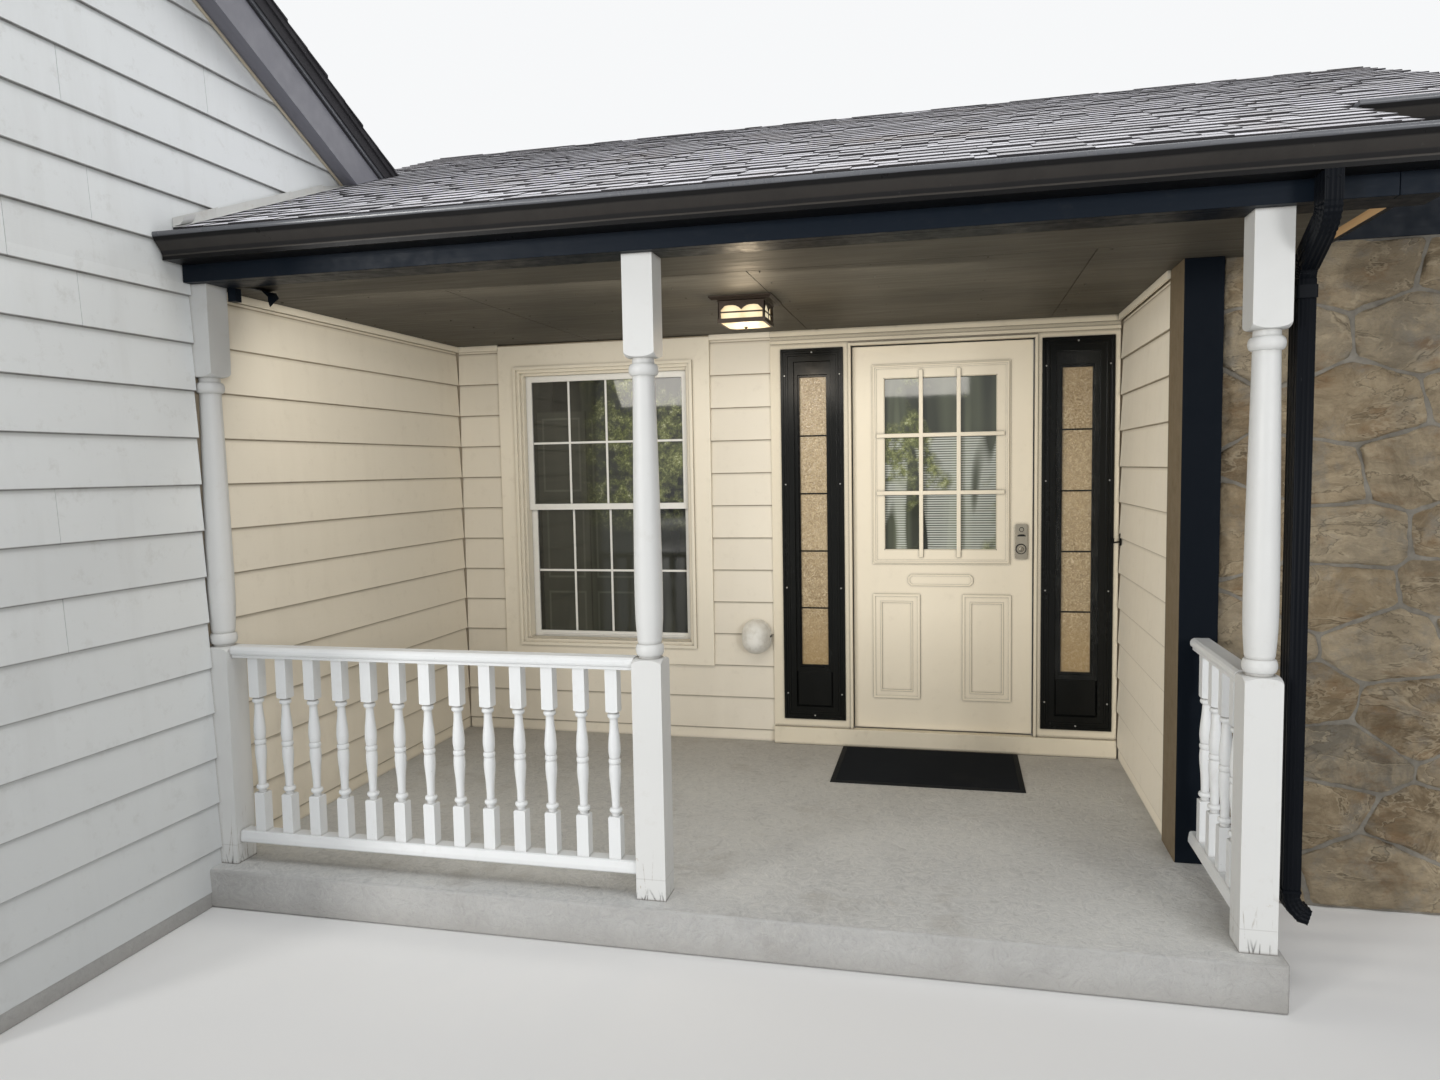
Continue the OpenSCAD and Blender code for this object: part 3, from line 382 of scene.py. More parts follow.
def stonework(name):
    """Split stone: a tone for each stone, veins, rust and pits, and clefts that break its face, with a
    painted shadow on one side of each cleft and a painted highlight on the other.
    """
    p = Paint(name, specular=0.25)
    per_stone = p.ramp(p.island(), (0.0, (0.17, 0.125, 0.075)), (0.3, (0.27, 0.205, 0.125)),
        (0.55, (0.21, 0.165, 0.108)), (0.8, (0.33, 0.27, 0.185)), (1.0, (0.165, 0.148, 0.118)))
    veins = p.noise(5, 9, 0.72, twist=1.0)
    tone = p.mix(p.span(veins, 0.44, 0.62, 0.0, 0.75), per_stone, (0.43, 0.35, 0.235))
    tone = p.wash(tone, p.noise(6, 8, 0.7), 0.52, 0.66, 0.6, (0.235, 0.225, 0.20))
    rust = p.noise(4.2, 8, 0.7, stretch=(1, 1, 1.7))
    tone = p.wash(tone, rust, 0.53, 0.66, 0.65, (0.21, 0.125, 0.06))
    tone = p.wash(tone, p.noise(90, 5, 0.7), 0.56, 0.75, 0.4, (0.20, 0.16, 0.11))
    pits = p.noise(17, 9, 0.78, stretch=(1, 1, 1.6), twist=0.8)
    tone = p.fade(tone, pits, 0.26, 0.42, 0.75, (0.105, 0.082, 0.052))
    cleft = p.minus(p.noise(3.1, 5, 0.60, stretch=(0.9, 1, 1.6), twist=0.7), 0.47)
    shelf = p.span(cleft, -0.004, 0.004)
    # painted shadow just below each cleft, and below that a painted highlight just above it
    near = p.span(p.maths("ABSOLUTE", p.maths("ADD", cleft, 0.007)), 0.002, 0.010, 0.45, 0.0)
    tone = p.mix(near, tone, (0.095, 0.073, 0.045))
    lit = p.span(p.off(cleft, 0.010), 0.003, 0.016, 0.42, 0.0)
    tone = p.mix(lit, tone, (0.47, 0.395, 0.275))
    p.bump(shelf, 0.6, 0.006)
    p.bump(p.noise(11, 10, 0.70, stretch=(1, 1, 1.8), twist=0.6), 1.0, 0.032)
    p.bump(p.noise(110, 6, 0.7), 0.5, 0.003)
    return p.finish(tone, veins, 0.75, 0.9)


def mortar(name):
    """Sandy joints, in the stones' shade."""
    p = Paint(name, specular=0.2)
    cloud = p.noise(18, 8, 0.7)
    tone = p.ramp(cloud, (0.3, (0.135, 0.123, 0.103)), (0.7, (0.25, 0.232, 0.198)))
    p.bump(cloud, 0.5, 0.006)
    p.bump(p.noise(300, 4, 0.7), 0.5, 0.0015)
    return p.finish(tone, cloud, 0.85, 0.95)


def shingles(name, dark, pale, brown):
    """Granules in two tones, each tab a little different."""
    p = Paint(name, specular=0.2)
    tab = p.ramp(p.island(), (0.0, dark), (0.25, shade(pale, 0.78)), (0.65, pale), (1.0, shade(pale, 1.18)))
    granules = p.noise(620, 2, 0.6)
    tone = p.mix(p.span(granules, 0.40, 0.62, 0.0, 0.55), tab, shade(pale, 1.3))
    tone = p.wash(tone, p.noise(510, 2, 0.6), 0.55, 0.66, 0.7, shade(dark, 0.6))
    tone = p.wash(tone, p.noise(2.2, 6, 0.65), 0.52, 0.75, 0.45, brown)
    p.bump(granules, 0.5, 0.0015)
    p.bump(p.noise(30, 4), 0.2, 0.004)
    return p.finish(tone, granules, 0.82, 0.95)


def raw_board(name, dark, pale, stretch):
    """Unpainted wood with its rings drawn out along the board."""
    p = Paint(name, specular=0.25)
    rings = p.noise(13, 9, 0.66, stretch=stretch, twist=0.8)
    tone = p.ramp(rings, (0.25, dark), (0.55, shade(pale, 0.8)), (0.8, pale))
    p.bump(rings, 0.3, 0.003)
    return p.finish(tone, rings, 0.6, 0.8)


def ceiling_board(name):
    """Dull dark ceiling paint with worn patches, darker towards the left."""
    p = Paint(name, specular=0.3)
    patches = p.noise(1.4, 6, 0.6, stretch=(1, 2.2, 1))
    tone = p.ramp(patches, (0.25, (0.046, 0.040, 0.031)), (0.5, (0.078, 0.070, 0.054)),
        (0.8, (0.122, 0.109, 0.086)))
    grain = p.noise(40, 6, 0.6, stretch=(0.08, 1, 1), twist=0.6)
    tone = p.wash(tone, grain, 0.46, 0.68, 0.28, (0.10, 0.09, 0.072))
    tone = p.fade(tone, p.place("X"), LEFT_END + 0.2, LEFT_END + 1.9, 0.55, (0.020, 0.017, 0.012))
    p.bump(grain, 0.16, 0.003)
    return p.finish(tone, grain, 0.48, 0.66)


GUTTER_BLACK = (0.0105, 0.0102, 0.0105)


def gutter_reflection_bands(p, colour, base):
    """Painted reflection: level bands of colour on the moulded face of a gutter, above its foot, stand in
    for the yard mirrored in it.
    """
    foot, upper_foot = (low.z for low, high in (solids("gutters", 2)[0], solids("gutters", 2)[-1]))
    sway = p.span(p.noise(3.0, 3, stretch=(1, 0.2, 0.2)), 0.3, 0.7, -0.0012, 0.0012)
    step = p.span(p.height(), upper_foot - 0.010, upper_foot - 0.009, 0.0, upper_foot - foot)
    rise = p.maths("ADD", p.minus(p.minus(p.height(), foot), step), sway)
    bands = p.ramp(p.span(rise, 0.0, 0.10), (0.0, shade(colour, 0.3)), (0.125, shade(colour, 0.4)),
        (0.145, (0.052, 0.047, 0.042)), (0.185, (0.048, 0.043, 0.038)), (0.20, shade(colour, 1.5)),
        (0.30, shade(colour, 1.7)), (0.34, (0.040, 0.036, 0.033)), (0.58, (0.044, 0.041, 0.038)),
        (0.63, shade(colour, 0.8)), (0.745, shade(colour, 0.8)), (0.765, (0.085, 0.088, 0.098)),
        (0.92, (0.12, 0.124, 0.137)))
    return p.mix(0.12, bands, base)


def enamel(name, colour, rough, scuff, scuff_colour, dust=0.12, specular=0.2, metallic=0.0, reflection_banded=False):
    """Smooth coated metal, with scuffs, a thin dust film and slight waves; with reflection_banded, painted
    reflections in level bands on a gutter's face.
    """
    p = Paint(name, metallic=metallic, specular=specular)
    tone = p.mix(p.noise(2.4, 4), shade(colour, 0.8), shade(colour, 1.25))
    film = p.noise(5, 8, 0.7, stretch=(1, 1, 0.35))
    if reflection_banded:
        tone = p.wash(gutter_reflection_bands(p, colour, tone), film, 0.45, 0.8, dust, shade(colour, 0.9))
    else:
        tone = p.wash(tone, film, 0.5, 0.8, dust, (0.15, 0.145, 0.13))
    marks = p.noise(38, 9, 0.75, stretch=(1, 1, 0.3), twist=0.3)
    tone = p.wash(tone, marks, 0.66, 0.74, scuff, scuff_colour)
    p.bump(p.noise(6, 3), 0.08, 0.01)
    p.bump(p.noise(350, 3), 0.05, 0.0008)
    return p.finish(tone, film, rough - 0.05, rough + 0.16, 0.3, 0.75)


def brushed(name, colour, rough=0.32):
    """Metal with fine upright brush lines and a few stains."""
    p = Paint(name, metallic=1.0)
    lines = p.noise(240, 4, 0.6, stretch=(1, 1, 0.04))
    tone = p.mix(lines, shade(colour, 0.78), shade(colour, 1.12))
    tone = p.wash(tone, p.noise(60, 7, 0.7), 0.6, 0.75, 0.5, (0.16, 0.13, 0.10))
    p.bump(lines, 0.06, 0.0005)
    return p.finish(tone, lines, rough, rough + 0.15)


# Behind the panes: the height of a door's panels, the pitch of a blind's slats and the height of its head
PANEL_H = 0.50
SLAT, BLIND_HEAD = 0.0125, 1.81


def dark_pane(name, low, high, blur=0.035, reflection_spread=(0.52, 0.60), rise=None, lean=None, slats=None,
        doors=None):
    """Glass before a dark room, whose darkness is painted shade: upright bands, panelled doors or a blind
    in the room, and painted reflections of leaves.
    """
    p = Paint(name, specular=0.6)
    bands = p.noise(3.4, 1.5, 0.5, stretch=(1.6, 1, 0.16))
    tone = p.ramp(bands, (0.40, shade(low, 0.7)), (0.50, shade(low, 1.5)), (0.56, shade(low, 1.3)),
        (0.62, shade(low, 2.6)))
    if doors:
        start, width, count, head = doors
        along = p.minus(p.place("X"), start)
        reach = width * count
        inside = p.times(p.span(along, -0.006, 0.0), p.span(along, reach, reach + 0.006, 1.0, 0.0))
        inside = p.times(inside, p.span(p.height(), head, head + 0.01, 1.0, 0.0))
        across = p.off(p.maths("FLOORED_MODULO", along, width), width / 2)
        rise_in = p.off(p.maths("FLOORED_MODULO", p.height(), PANEL_H), PANEL_H / 2)
        rim = p.maths("MAXIMUM", p.minus(across, width / 2 - 0.040), p.minus(rise_in, 0.205))
        panel = p.span(p.maths("ABSOLUTE", rim), 0.003, 0.008, 1.0, 0.0)
        seam = p.span(across, width / 2 - 0.005, width / 2 - 0.002)
        door = p.mix(p.times(panel, 0.7), shade(low, 2.4), shade(low, 5.0))
        door = p.mix(p.times(seam, 0.8), door, shade(low, 0.4))
        tone = p.mix(p.times(inside, p.span(bands, 0.36, 0.58, 0.9, 0.6)), tone, door)
    # painted reflection of leaves, laid in patches on the pane
    leaf_reflection = p.ramp(p.noise(30, 12, 0.85), (0.40, shade(high, 0.06)), (0.50, (0.10, 0.115, 0.038)),
        (0.57, (0.25, 0.27, 0.10)), (0.64, high))
    patch = p.times(p.span(p.noise(2.7, 3, 0.55), *reflection_spread), p.span(p.noise(6.5, 7, 0.75), 0.41, 0.53))
    if rise:
        patch = p.times(patch, p.span(p.height(), *rise))
    if lean:
        patch = p.times(patch, p.span(p.place("X"), *lean))
    if slats:
        line = p.maths("FLOORED_MODULO", p.height(), SLAT)
        slat = p.span(p.off(line, 0.0062), 0.0018, 0.0036, 1.0, 0.15)
        blind = p.span(p.noise(3.1, 1, 0.5, stretch=(1.8, 1, 0.3)), 0.41, 0.44)
        under = p.span(p.height(), BLIND_HEAD, BLIND_HEAD + 0.02, 1.0, 0.0)
        tone = p.mix(p.times(p.times(slat, blind), under), tone, slats)
    tone = p.mix(patch, tone, leaf_reflection)
    p.bump(p.noise(2.4, 2), 0.03, 0.01)
    return p.finish(tone, p.noise(9, 6), blur, blur + 0.06, 0.4, 0.8)


def hammered_glass(name):
    """Rolled amber glass: dimples and swirls, darker at its head and foot."""
    p = Paint(name, specular=0.6)
    swirls = p.noise(46, 5, 0.62, twist=2.2)
    dimples = p.times(p.maths("ADD", p.cells(70, "SMOOTH_F1"), swirls), 0.5)
    tone = p.ramp(swirls, (0.30, (0.19, 0.13, 0.065)), (0.48, (0.35, 0.26, 0.145)),
        (0.60, (0.48, 0.375, 0.225)), (0.72, (0.70, 0.59, 0.41)))
    tone = p.wash(tone, p.noise(3.2, 5), 0.35, 0.7, 0.5, (0.50, 0.39, 0.235))
    tone = p.wash(tone, p.height(), 1.75, 2.2, 0.5, (0.27, 0.19, 0.10))
    tone = p.fade(tone, p.height(), 0.62, 0.95, 0.65, (0.37, 0.245, 0.10))
    p.bump(dimples, 0.7, 0.004)
    return p.finish(tone, dimples, 0.14, 0.34, 0.2, 0.7)


def clear_pane(name):
    """A storm pane that is seen only by a thin film and its shine."""
    p = Paint(name)
    film = p.noise(7, 7, 0.7)
    tone = p.mix(p.span(film, 0.5, 0.8, 0.0, 0.6), (0.75, 0.78, 0.76), (0.5, 0.5, 0.46))
    p.links.new(p.span(film, 0.45, 0.8, 0.004, 0.022), p.shader.inputs["Alpha"])
    return p.finish(tone, film, 0.02, 0.12, 0.3, 0.8)


def lamp_glow(name, bulbs):
    """Seeded glass that glows warm, brightest near the bulbs behind it."""
    p = Paint(name, specular=0.4)
    cloud = p.noise(26, 4)
    tone = p.mix(cloud, (0.36, 0.28, 0.17), (0.44, 0.36, 0.24))
    away = p.maths("MINIMUM", *[p.distance(bulb) for bulb in bulbs])
    core = p.ramp(p.span(away, 0.085, 0.125), (0.0, (0.90, 0.80, 0.56)), (0.35, (0.66, 0.50, 0.27)),
        (1.0, (0.44, 0.30, 0.14)))
    p.links.new(core, p.shader.inputs["Emission Color"])
    p.shader.inputs["Emission Strength"].default_value = 0.75
    p.bump(p.noise(90, 3), 0.2, 0.001)
    return p.finish(tone, cloud, 0.25, 0.45)


def foam_shell(name):
    """Moulded foam beads, a little soiled."""
    p = Paint(name, specular=0.35)
    beads = p.cells(210, "F1")
    tone = p.mix(p.span(p.noise(16, 8, 0.7), 0.45, 0.75), (0.80, 0.785, 0.735), (0.58, 0.55, 0.48))
    p.bump(beads, 0.18, 0.0015)
    return p.finish(tone, beads, 0.5, 0.66, 0.0, 1.0)


def rubber_mat(name):
    """Dark pile with trodden-in dust."""
    p = Paint(name, specular=0.3)
    pile = p.noise(420, 4, 0.7)
    tone = p.ramp(pile, (0.3, (0.003, 0.004, 0.0055)), (0.7, (0.008, 0.010, 0.0125)))
    tone = p.wash(tone, p.noise(5, 8, 0.7), 0.55, 0.78, 0.10, (0.07, 0.063, 0.052))
    p.bump(pile, 0.6, 0.002)
    return p.finish(tone, pile, 0.8, 0.95)


WHITE = (0.80, 0.822, 0.822)
CREAM = (0.795, 0.735, 0.62)
NAVY = (0.0060, 0.0098, 0.0160)

LAMP_LOW, LAMP_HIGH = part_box("light_glass")
LAMP_AT = (LAMP_LOW + LAMP_HIGH) / 2
LAMP_BULBS = [(LAMP_AT.x + side * 0.042, LAMP_AT.y, LAMP_AT.z + 0.004) for side in (-1, 1)]

PANE_X = lo("window_glass").x

MATS = {
    "concrete": concrete("slab_concrete"),
    "wall_frame": sheathing("wall_sheathing"),
    "siding_white": painted("white_siding", WHITE, 0.55, 0.04, 0.07, 0.30, grain=(1, 0.12, 1),
        grain_scale=34, grain_bump=0.16, streaks=0.12, lap_shade_colour=(0.17, 0.165, 0.155), low_shade=0.5),
    "siding_cream": painted("cream_siding", CREAM, 0.55, 0.04, 0.06, 0.22, grime_and_shade=(0.42, 0.36, 0.27),
        grain=(0.12, 0.12, 1), grain_scale=34, grain_bump=0.16, streaks=0.08, lap_shade_colour=(0.25, 0.205, 0.14)),
    "stone": stonework("facing_stone"),
    "navy_paint": painted("dark_trim_paint", NAVY, 0.42, 0.12, 0.10, 0.12, grime_and_shade=(0.07, 0.066, 0.06),
        grain=(0.15, 1, 1), grain_scale=44, grain_bump=0.18, specular=0.09),
    "white_paint": cracked_paint("post_paint", (0.615, 0.62, 0.61)),
    "ceiling_paint": ceiling_board("ceiling_paint"),
    "raw_wood": raw_board("bare_wood", (0.46, 0.24, 0.09), (0.82, 0.52, 0.25), (1, 0.10, 1)),
    "shingle": shingles("roof_shingle", (0.45, 0.445, 0.47), (0.77, 0.765, 0.825), (0.48, 0.42, 0.37)),
    "white_metal": painted("flashing_paint", (0.64, 0.64, 0.62), 0.45, 0.06, 0.1, 0.45,
        grime_and_shade=(0.34, 0.27, 0.20), grain_bump=0.06),
    "grey_paint": painted("rake_paint", (0.155, 0.155, 0.178), 0.5, 0.14, 0.05, 0.3,
        grime_and_shade=(0.08, 0.08, 0.09), grain=(1, 0.2, 0.2), grain_scale=50),
    "dark_shingle": shingles("edge_shingle", (0.012, 0.012, 0.014), (0.030, 0.029, 0.032),
        (0.035, 0.032, 0.03)),
    "gutter_metal": enamel("gutter_enamel", GUTTER_BLACK, 0.30, 0.35, (0.12, 0.115, 0.11),
        dust=0.45, specular=0.12, reflection_banded=True),
    "black_metal": enamel("pipe_enamel", (0.0045, 0.0055, 0.0075), 0.32, 0.5, (0.10, 0.10, 0.095),
        dust=0.015, specular=0.05),
    "cream_paint": painted("cream_trim_paint", (0.85, 0.785, 0.655), 0.48, 0.04, 0.04, 0.25,
        grime_and_shade=(0.42, 0.35, 0.25), grain=(1, 1, 0.12), grain_scale=40, crease_shading=0.4),
    "white_plastic": painted("sash_vinyl", (0.84, 0.83, 0.79), 0.34, 0.03, 0.03, 0.16,
        grain_bump=0.04, crease_shading=0.35),
    # window and door panes: a dark colour for the unlit room as painted shade, a pale leaf colour for
    # painted reflections
    "window_glass": dark_pane("window_pane", (0.019, 0.020, 0.0155), (0.66, 0.67, 0.50), reflection_spread=(0.36, 0.44),
        rise=(1.30, 1.50), lean=(PANE_X + 0.28, PANE_X + 0.55), doors=(PANE_X + 0.02, 0.30, 2, 1.99)),
    "trim_paint": painted("door_frame_paint", (0.735, 0.665, 0.525), 0.45, 0.04, 0.03, 0.28,
        grime_and_shade=(0.36, 0.29, 0.20), grain=(1, 1, 0.12), grain_scale=40, crease_shading=0.95),
    "black_paint": enamel("sidelight_enamel", (0.0048, 0.0052, 0.0046), 0.18, 0.3, (0.08, 0.08, 0.075),
        dust=0.02, specular=0.16),
    "amber_glass": hammered_glass("amber_hammered"),
    "steel": brushed("hinge_steel", (0.58, 0.57, 0.55)),
    "bronze_metal": enamel("lamp_bronze", (0.026, 0.018, 0.013), 0.34, 0.4, (0.12, 0.08, 0.045),
        dust=0.05, metallic=0.3),
    "lamp_glass": lamp_glow("lamp_glass", LAMP_BULBS),
    "foam_white": foam_shell("cover_foam"),
    "mat": rubber_mat("mat_rubber"),
    "door_paint": painted("door_enamel", (0.82, 0.745, 0.60), 0.36, 0.03, 0.02, 0.18,
        grime_and_shade=(0.45, 0.38, 0.28), grain_bump=0.05, crease_shading=0.75),
    "door_glass": dark_pane("door_pane", (0.050, 0.056, 0.037), (0.60, 0.62, 0.46),
        reflection_spread=(0.51, 0.58), slats=(0.56, 0.59, 0.54)),
    "nickel": brushed("satin_nickel", (0.40, 0.365, 0.295), 0.36),
}
MORTAR = mortar("joint_mortar")
CLEAR = clear_pane("storm_pane_glass")
BEIGE = painted("caulk_beige", (0.46, 0.40, 0.30), 0.6, 0.08, dirt=0.4)
# Dark material for the shingle tabs' front and end faces: painted shade along the course lines
TAB_EDGE_SHADE = shingles("shingle_edge_shade", (0.020, 0.019, 0.022), (0.040, 0.038, 0.041), (0.05, 0.040, 0.032))
# Paler enamel for the gutter lips: painted highlight
LIP_HIGHLIGHT = enamel("gutter_lip_highlight", (0.10, 0.104, 0.115), 0.22, 0.3, (0.16, 0.16, 0.16), specular=0.5)
# Near-black material for painted shadow in gaps and openings
SHADOW = painted("painted_gap_shadow", (0.012, 0.012, 0.012), 0.8, 0.1, dirt=0.1, grime_and_shade=(0.03, 0.03, 0.03))

for part in frame["record"]["subparts"]:
    slots = NODES[part["node"]].data.materials
    slots.clear()
    slots.append(MATS[part["material_slot"]])
RAIL_PAINT = rail_paint("rail_paint", (0.685, 0.70, 0.705))
for node in ("rails", "balusters"):
    NODES[node].data.materials[0] = RAIL_PAINT
NODES["pilaster"].data.materials[0] = dark_with_reflected_side("pilaster_paint", shade(NAVY, 0.55), (0.165, 0.128, 0.082),
    lo("pilaster").x)


# Building meshes

def stand(name, data):
    """A new object of the scene."""
    obj = bpy.data.objects.new(name, data)
    bpy.context.scene.collection.objects.link(obj)
    return obj


def corners(x0, y0, x1, y1):
    """A rectangle's corners in turn."""
    return [(x0, y0), (x1, y0), (x1, y1), (x0, y1)]


def circle(count):
    """Cosine and sine at even steps of a full turn."""
    return [(math.cos(math.tau * i / count), math.sin(math.tau * i / count)) for i in range(count)]


class Shape:
    """Gathers closed solids into one mesh."""

    def __init__(self):
        self.verts, self.faces, self.slots = [], [], []

    def add(self, verts, faces, slot=0):
        base = len(self.verts)
        self.verts += [tuple(v) for v in verts]
        self.faces += [tuple(base + i for i in face) for face in faces]
        self.slots += [slot] * len(faces)

    def loft(self, rings, slot=0, caps=True):
        """Skin between rings of equal point counts, closed at both ends."""
        n = len(rings[0])
        verts = [p for ring in rings for p in ring]
        faces = [(i * n + j, i * n + (j + 1) % n, (i + 1) * n + (j + 1) % n, (i + 1) * n + j)
            for i in range(len(rings) - 1) for j in range(n)]
        if caps:
            faces += [tuple(range(n)), tuple(range(len(verts) - n, len(verts)))]
        self.add(verts, faces, slot)

    def box(self, low, high, slot=0):
        (x0, y0, z0), (x1, y1, z1) = low, high
        self.loft([[(x, y, z) for x, y in corners(x0, y0, x1, y1)] for z in (z0, z1)], slot)

    def prism(self, ring, x0, x1, slot=0):
        """A section in (Y, Z) drawn out along X."""
        self.loft([[(x, y, z) for y, z in ring] for x in (x0, x1)], slot)

    def rod(self, start, end, radius, sides=16, slot=0, profile=None):
        """A round bar between two points; profile gives (share of the length, share of the radius)."""
        start, end = Vector(start), Vector(end)
        turn = (end - start).to_track_quat("Z", "Y")
        rings = []
        for along, wide in profile or [(0, 1), (1, 1)]:
            centre = start.lerp(end, along)
            reach = radius * wide
            rings.append([centre + turn @ Vector((reach * c, reach * s, 0)) for c, s in circle(sides)])
        self.loft(rings, slot)

    def make(self, name, slot, body=HOUSE, replaces=(), mats=None, sharp=35, bevel=0.0):
        mesh = bpy.data.meshes.new(name)
        mesh.from_pydata(self.verts, [], self.faces)
        for material in mats or [MATS[slot]]:
            mesh.materials.append(material)
        for poly, index in zip(mesh.polygons, self.slots):
            poly.material_index = index
        bm = bmesh.new()
        bm.from_mesh(mesh)
        bmesh.ops.recalc_face_normals(bm, faces=bm.faces)
        limit = math.radians(sharp)
        for edge in bm.edges:
            edge.smooth = edge.calc_face_angle(0.0) < limit
        for face in bm.faces:
            face.smooth = True
        bm.to_mesh(mesh)
        bm.free()
        obj = stand(name, mesh)
        if bevel:
            soften(obj, bevel)
        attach(obj, body)
        if replaces:
            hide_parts(*replaces)
        return obj


def soften(obj, width, weld=False):
    if weld:
        join = obj.modifiers.new("join", "WELD")
        join.merge_threshold = 0.00002
    edge = obj.modifiers.new("soft_edges", "BEVEL")
    edge.width = width
    edge.segments = 2
    edge.limit_method = "ANGLE"
    edge.angle_limit = math.radians(42)
    edge.harden_normals = True


# Places read from the frame
LEFT_X = hi("left_siding").x
LEFT_CORE_X = lo("left_siding").x
RIGHT_X = solids("side_siding")[-1][0].x
BACK_Y = lo("back_siding").y
UNIT_X0 = hi("back_siding").x
WING_Y = lo("left_siding").y
CEIL_Z = lo("ceiling").z
FLOOR_Z = hi("slab").z
POST_HALF = -lo("posts").y
SKIRT_Z = lo("side_siding").z
COVE_Z = CEIL_Z - 0.030
SHINGLE_T = 0.014
ROOF_LOW, ROOF_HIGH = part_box("shingles")
ROOF_SLOPE = (ROOF_HIGH.z - ROOF_LOW.z - SHINGLE_T) / (ROOF_HIGH.y - ROOF_LOW.y)
WING_SLOPE = 0.5
WING_TRIM, WING_TABS = 0.050, 0.070
WING_TOP = hi("wing_roof").z + WING_SLOPE * WING_Y
RAKE_TOP = WING_TOP - WING_TRIM - WING_TABS
RAKE_H = 0.165
RAKE_FOOT = RAKE_TOP - RAKE_H


def roof_z(y):
    return ROOF_HIGH.z + ROOF_SLOPE * (y - ROOF_HIGH.y)


def rake_z(y, height=0.0):
    return RAKE_FOOT + height - WING_SLOPE * y


def meet_y(height):
    """Where a line of the wing's rake meets the porch roof."""
    return (RAKE_FOOT + height - roof_z(0)) / (ROOF_SLOPE + WING_SLOPE)


# Lapped siding
BUTT = 0.0105
BOARD_BACK = 0.020
BOARD_LAP = 0.016
COLUMN_W, SLANT_STEP = 0.32, 0.03
HALF_JOINT = 0.0011
WAVE, SAG, DRIP = 0.0008, 0.0016, 0.0014
# How each wall turns (along, depth, height) into a place
PLACES = {
    "left": lambda s, depth, z: (LEFT_X - depth, s, z),
    "right": lambda s, depth, z: (RIGHT_X + depth, s, z),
    "back": lambda s, depth, z: (s, BACK_Y + depth, z),
}


def board(shape, place, start, end, z_low, z_high, z_course, key, slanted):
    """One lapped board: its face leans back as it rises, and its lower edge casts the course line."""
    step = SLANT_STEP if slanted else 1.0
    count = max(1, math.ceil((z_high - z_low) / step))
    butt = z_low <= z_course + 1e-6
    heights = [z_low, z_low + 0.0015] if butt else [z_low]
    heights += [z_low + (z_high - z_low) * i / count for i in range(1, count + 1)]
    run = abs(end(z_low) - start(z_low))
    columns = max(1, math.ceil(run / COLUMN_W))
    rows = []
    for i, z in enumerate(heights):
        s0, s1 = start(z), end(z)
        row = []
        for j in range(columns + 1):
            s = s0 + (s1 - s0) * j / columns
            wave = noise.noise(Vector((s * 1.9, key * 7.3, 0.5)))
            depth = BUTT * (z - z_course) / COURSE + WAVE * (1 + wave)
            depth += DRIP if butt and i == 0 else 0.0
            drop = SAG * noise.noise(Vector((s * 1.3, key * 3.1, 9.5))) if butt and i < 2 else 0.0
            row.append(place(s, depth, z + drop))
        back = [place(s1, BOARD_BACK, z), place(s0, BOARD_BACK, z)]
        rows.append(row + back)
    shape.loft(rows)


def lap_wall(shape, place, low, high, spans, cuts=(), joint_share=0.0, slanted=False, seed=0):
    """Courses of boards between two heights. spans(z) lists the (start, end) functions at that height."""
    first = math.floor((low - FIRST_COURSE) / COURSE)
    last = math.ceil((high - FIRST_COURSE) / COURSE)
    for k in range(first, last):
        z_course = FIRST_COURSE + k * COURSE
        z0, z1 = max(z_course, low), min(z_course + COURSE + BOARD_LAP, high)
        if z1 - z0 < 0.02:
            continue
        levels = [z0] + [c for c in cuts if z0 + 1e-4 < c < z1 - 1e-4] + [z1]
        joint = rng.random()
        split = rng.uniform(0.25, 0.75)
        for a, b in zip(levels, levels[1:]):
            for start, end in spans((a + b) / 2):
                if end(a) - start(a) < 0.01 and end(b) - start(b) < 0.01:
                    continue
                if joint < joint_share and end(a) - start(a) > 0.9:
                    middle = start(a) + (end(a) - start(a)) * split
                    board(shape, place, start, lambda z, m=middle: m - HALF_JOINT, a, b, z_course, k + seed,
                        slanted)
                    board(shape, place, lambda z, m=middle: m + HALF_JOINT, end, a, b, z_course,
                        k + seed + 0.4, slanted)
                else:
                    board(shape, place, start, end, a, b, z_course, k + seed, slanted)


def always(value):
    return lambda z: value


def wing_end(z):
    """Where the white boards stop: at the post, then along the porch roof, then under the rake board."""
    under_roof = (z - roof_z(0) + SHINGLE_T) / ROOF_SLOPE
    return min(max(-POST_HALF, under_roof), (RAKE_FOOT + 0.012 - z) / WING_SLOPE)


wing_boards = Shape()
apex = RAKE_FOOT - WING_SLOPE * WING_Y
lap_wall(wing_boards, PLACES["left"], lo("left_siding").z, apex, lambda z: [(always(WING_Y), wing_end)],
    cuts=[CEIL_Z], joint_share=0.25, slanted=True, seed=3)
wing_boards.make("wing_siding_boards", "siding_white", replaces=["left_siding"])

footing = Shape()
footing.box((LEFT_CORE_X + 0.002, WING_Y, 0.0), (LEFT_X - 0.004, lo("slab").y, lo("left_siding").z + 0.010))
footing.make("wing_footing", "concrete", bevel=0.002)

bay_boards = Shape()
lap_wall(bay_boards, PLACES["left"], SKIRT_Z, COVE_Z, lambda z: [(always(POST_HALF), always(BACK_Y))],
    joint_share=0.15, seed=40)
right_y = solids("side_siding")[-1][0].y
lap_wall(bay_boards, PLACES["right"], SKIRT_Z, COVE_Z, lambda z: [(always(right_y), always(BACK_Y - 0.01))],
    seed=80)
bay_boards.make("bay_siding_boards", "siding_cream", replaces=["side_siding"])

casing_low, casing_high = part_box("window_casing")
back_boards = Shape()


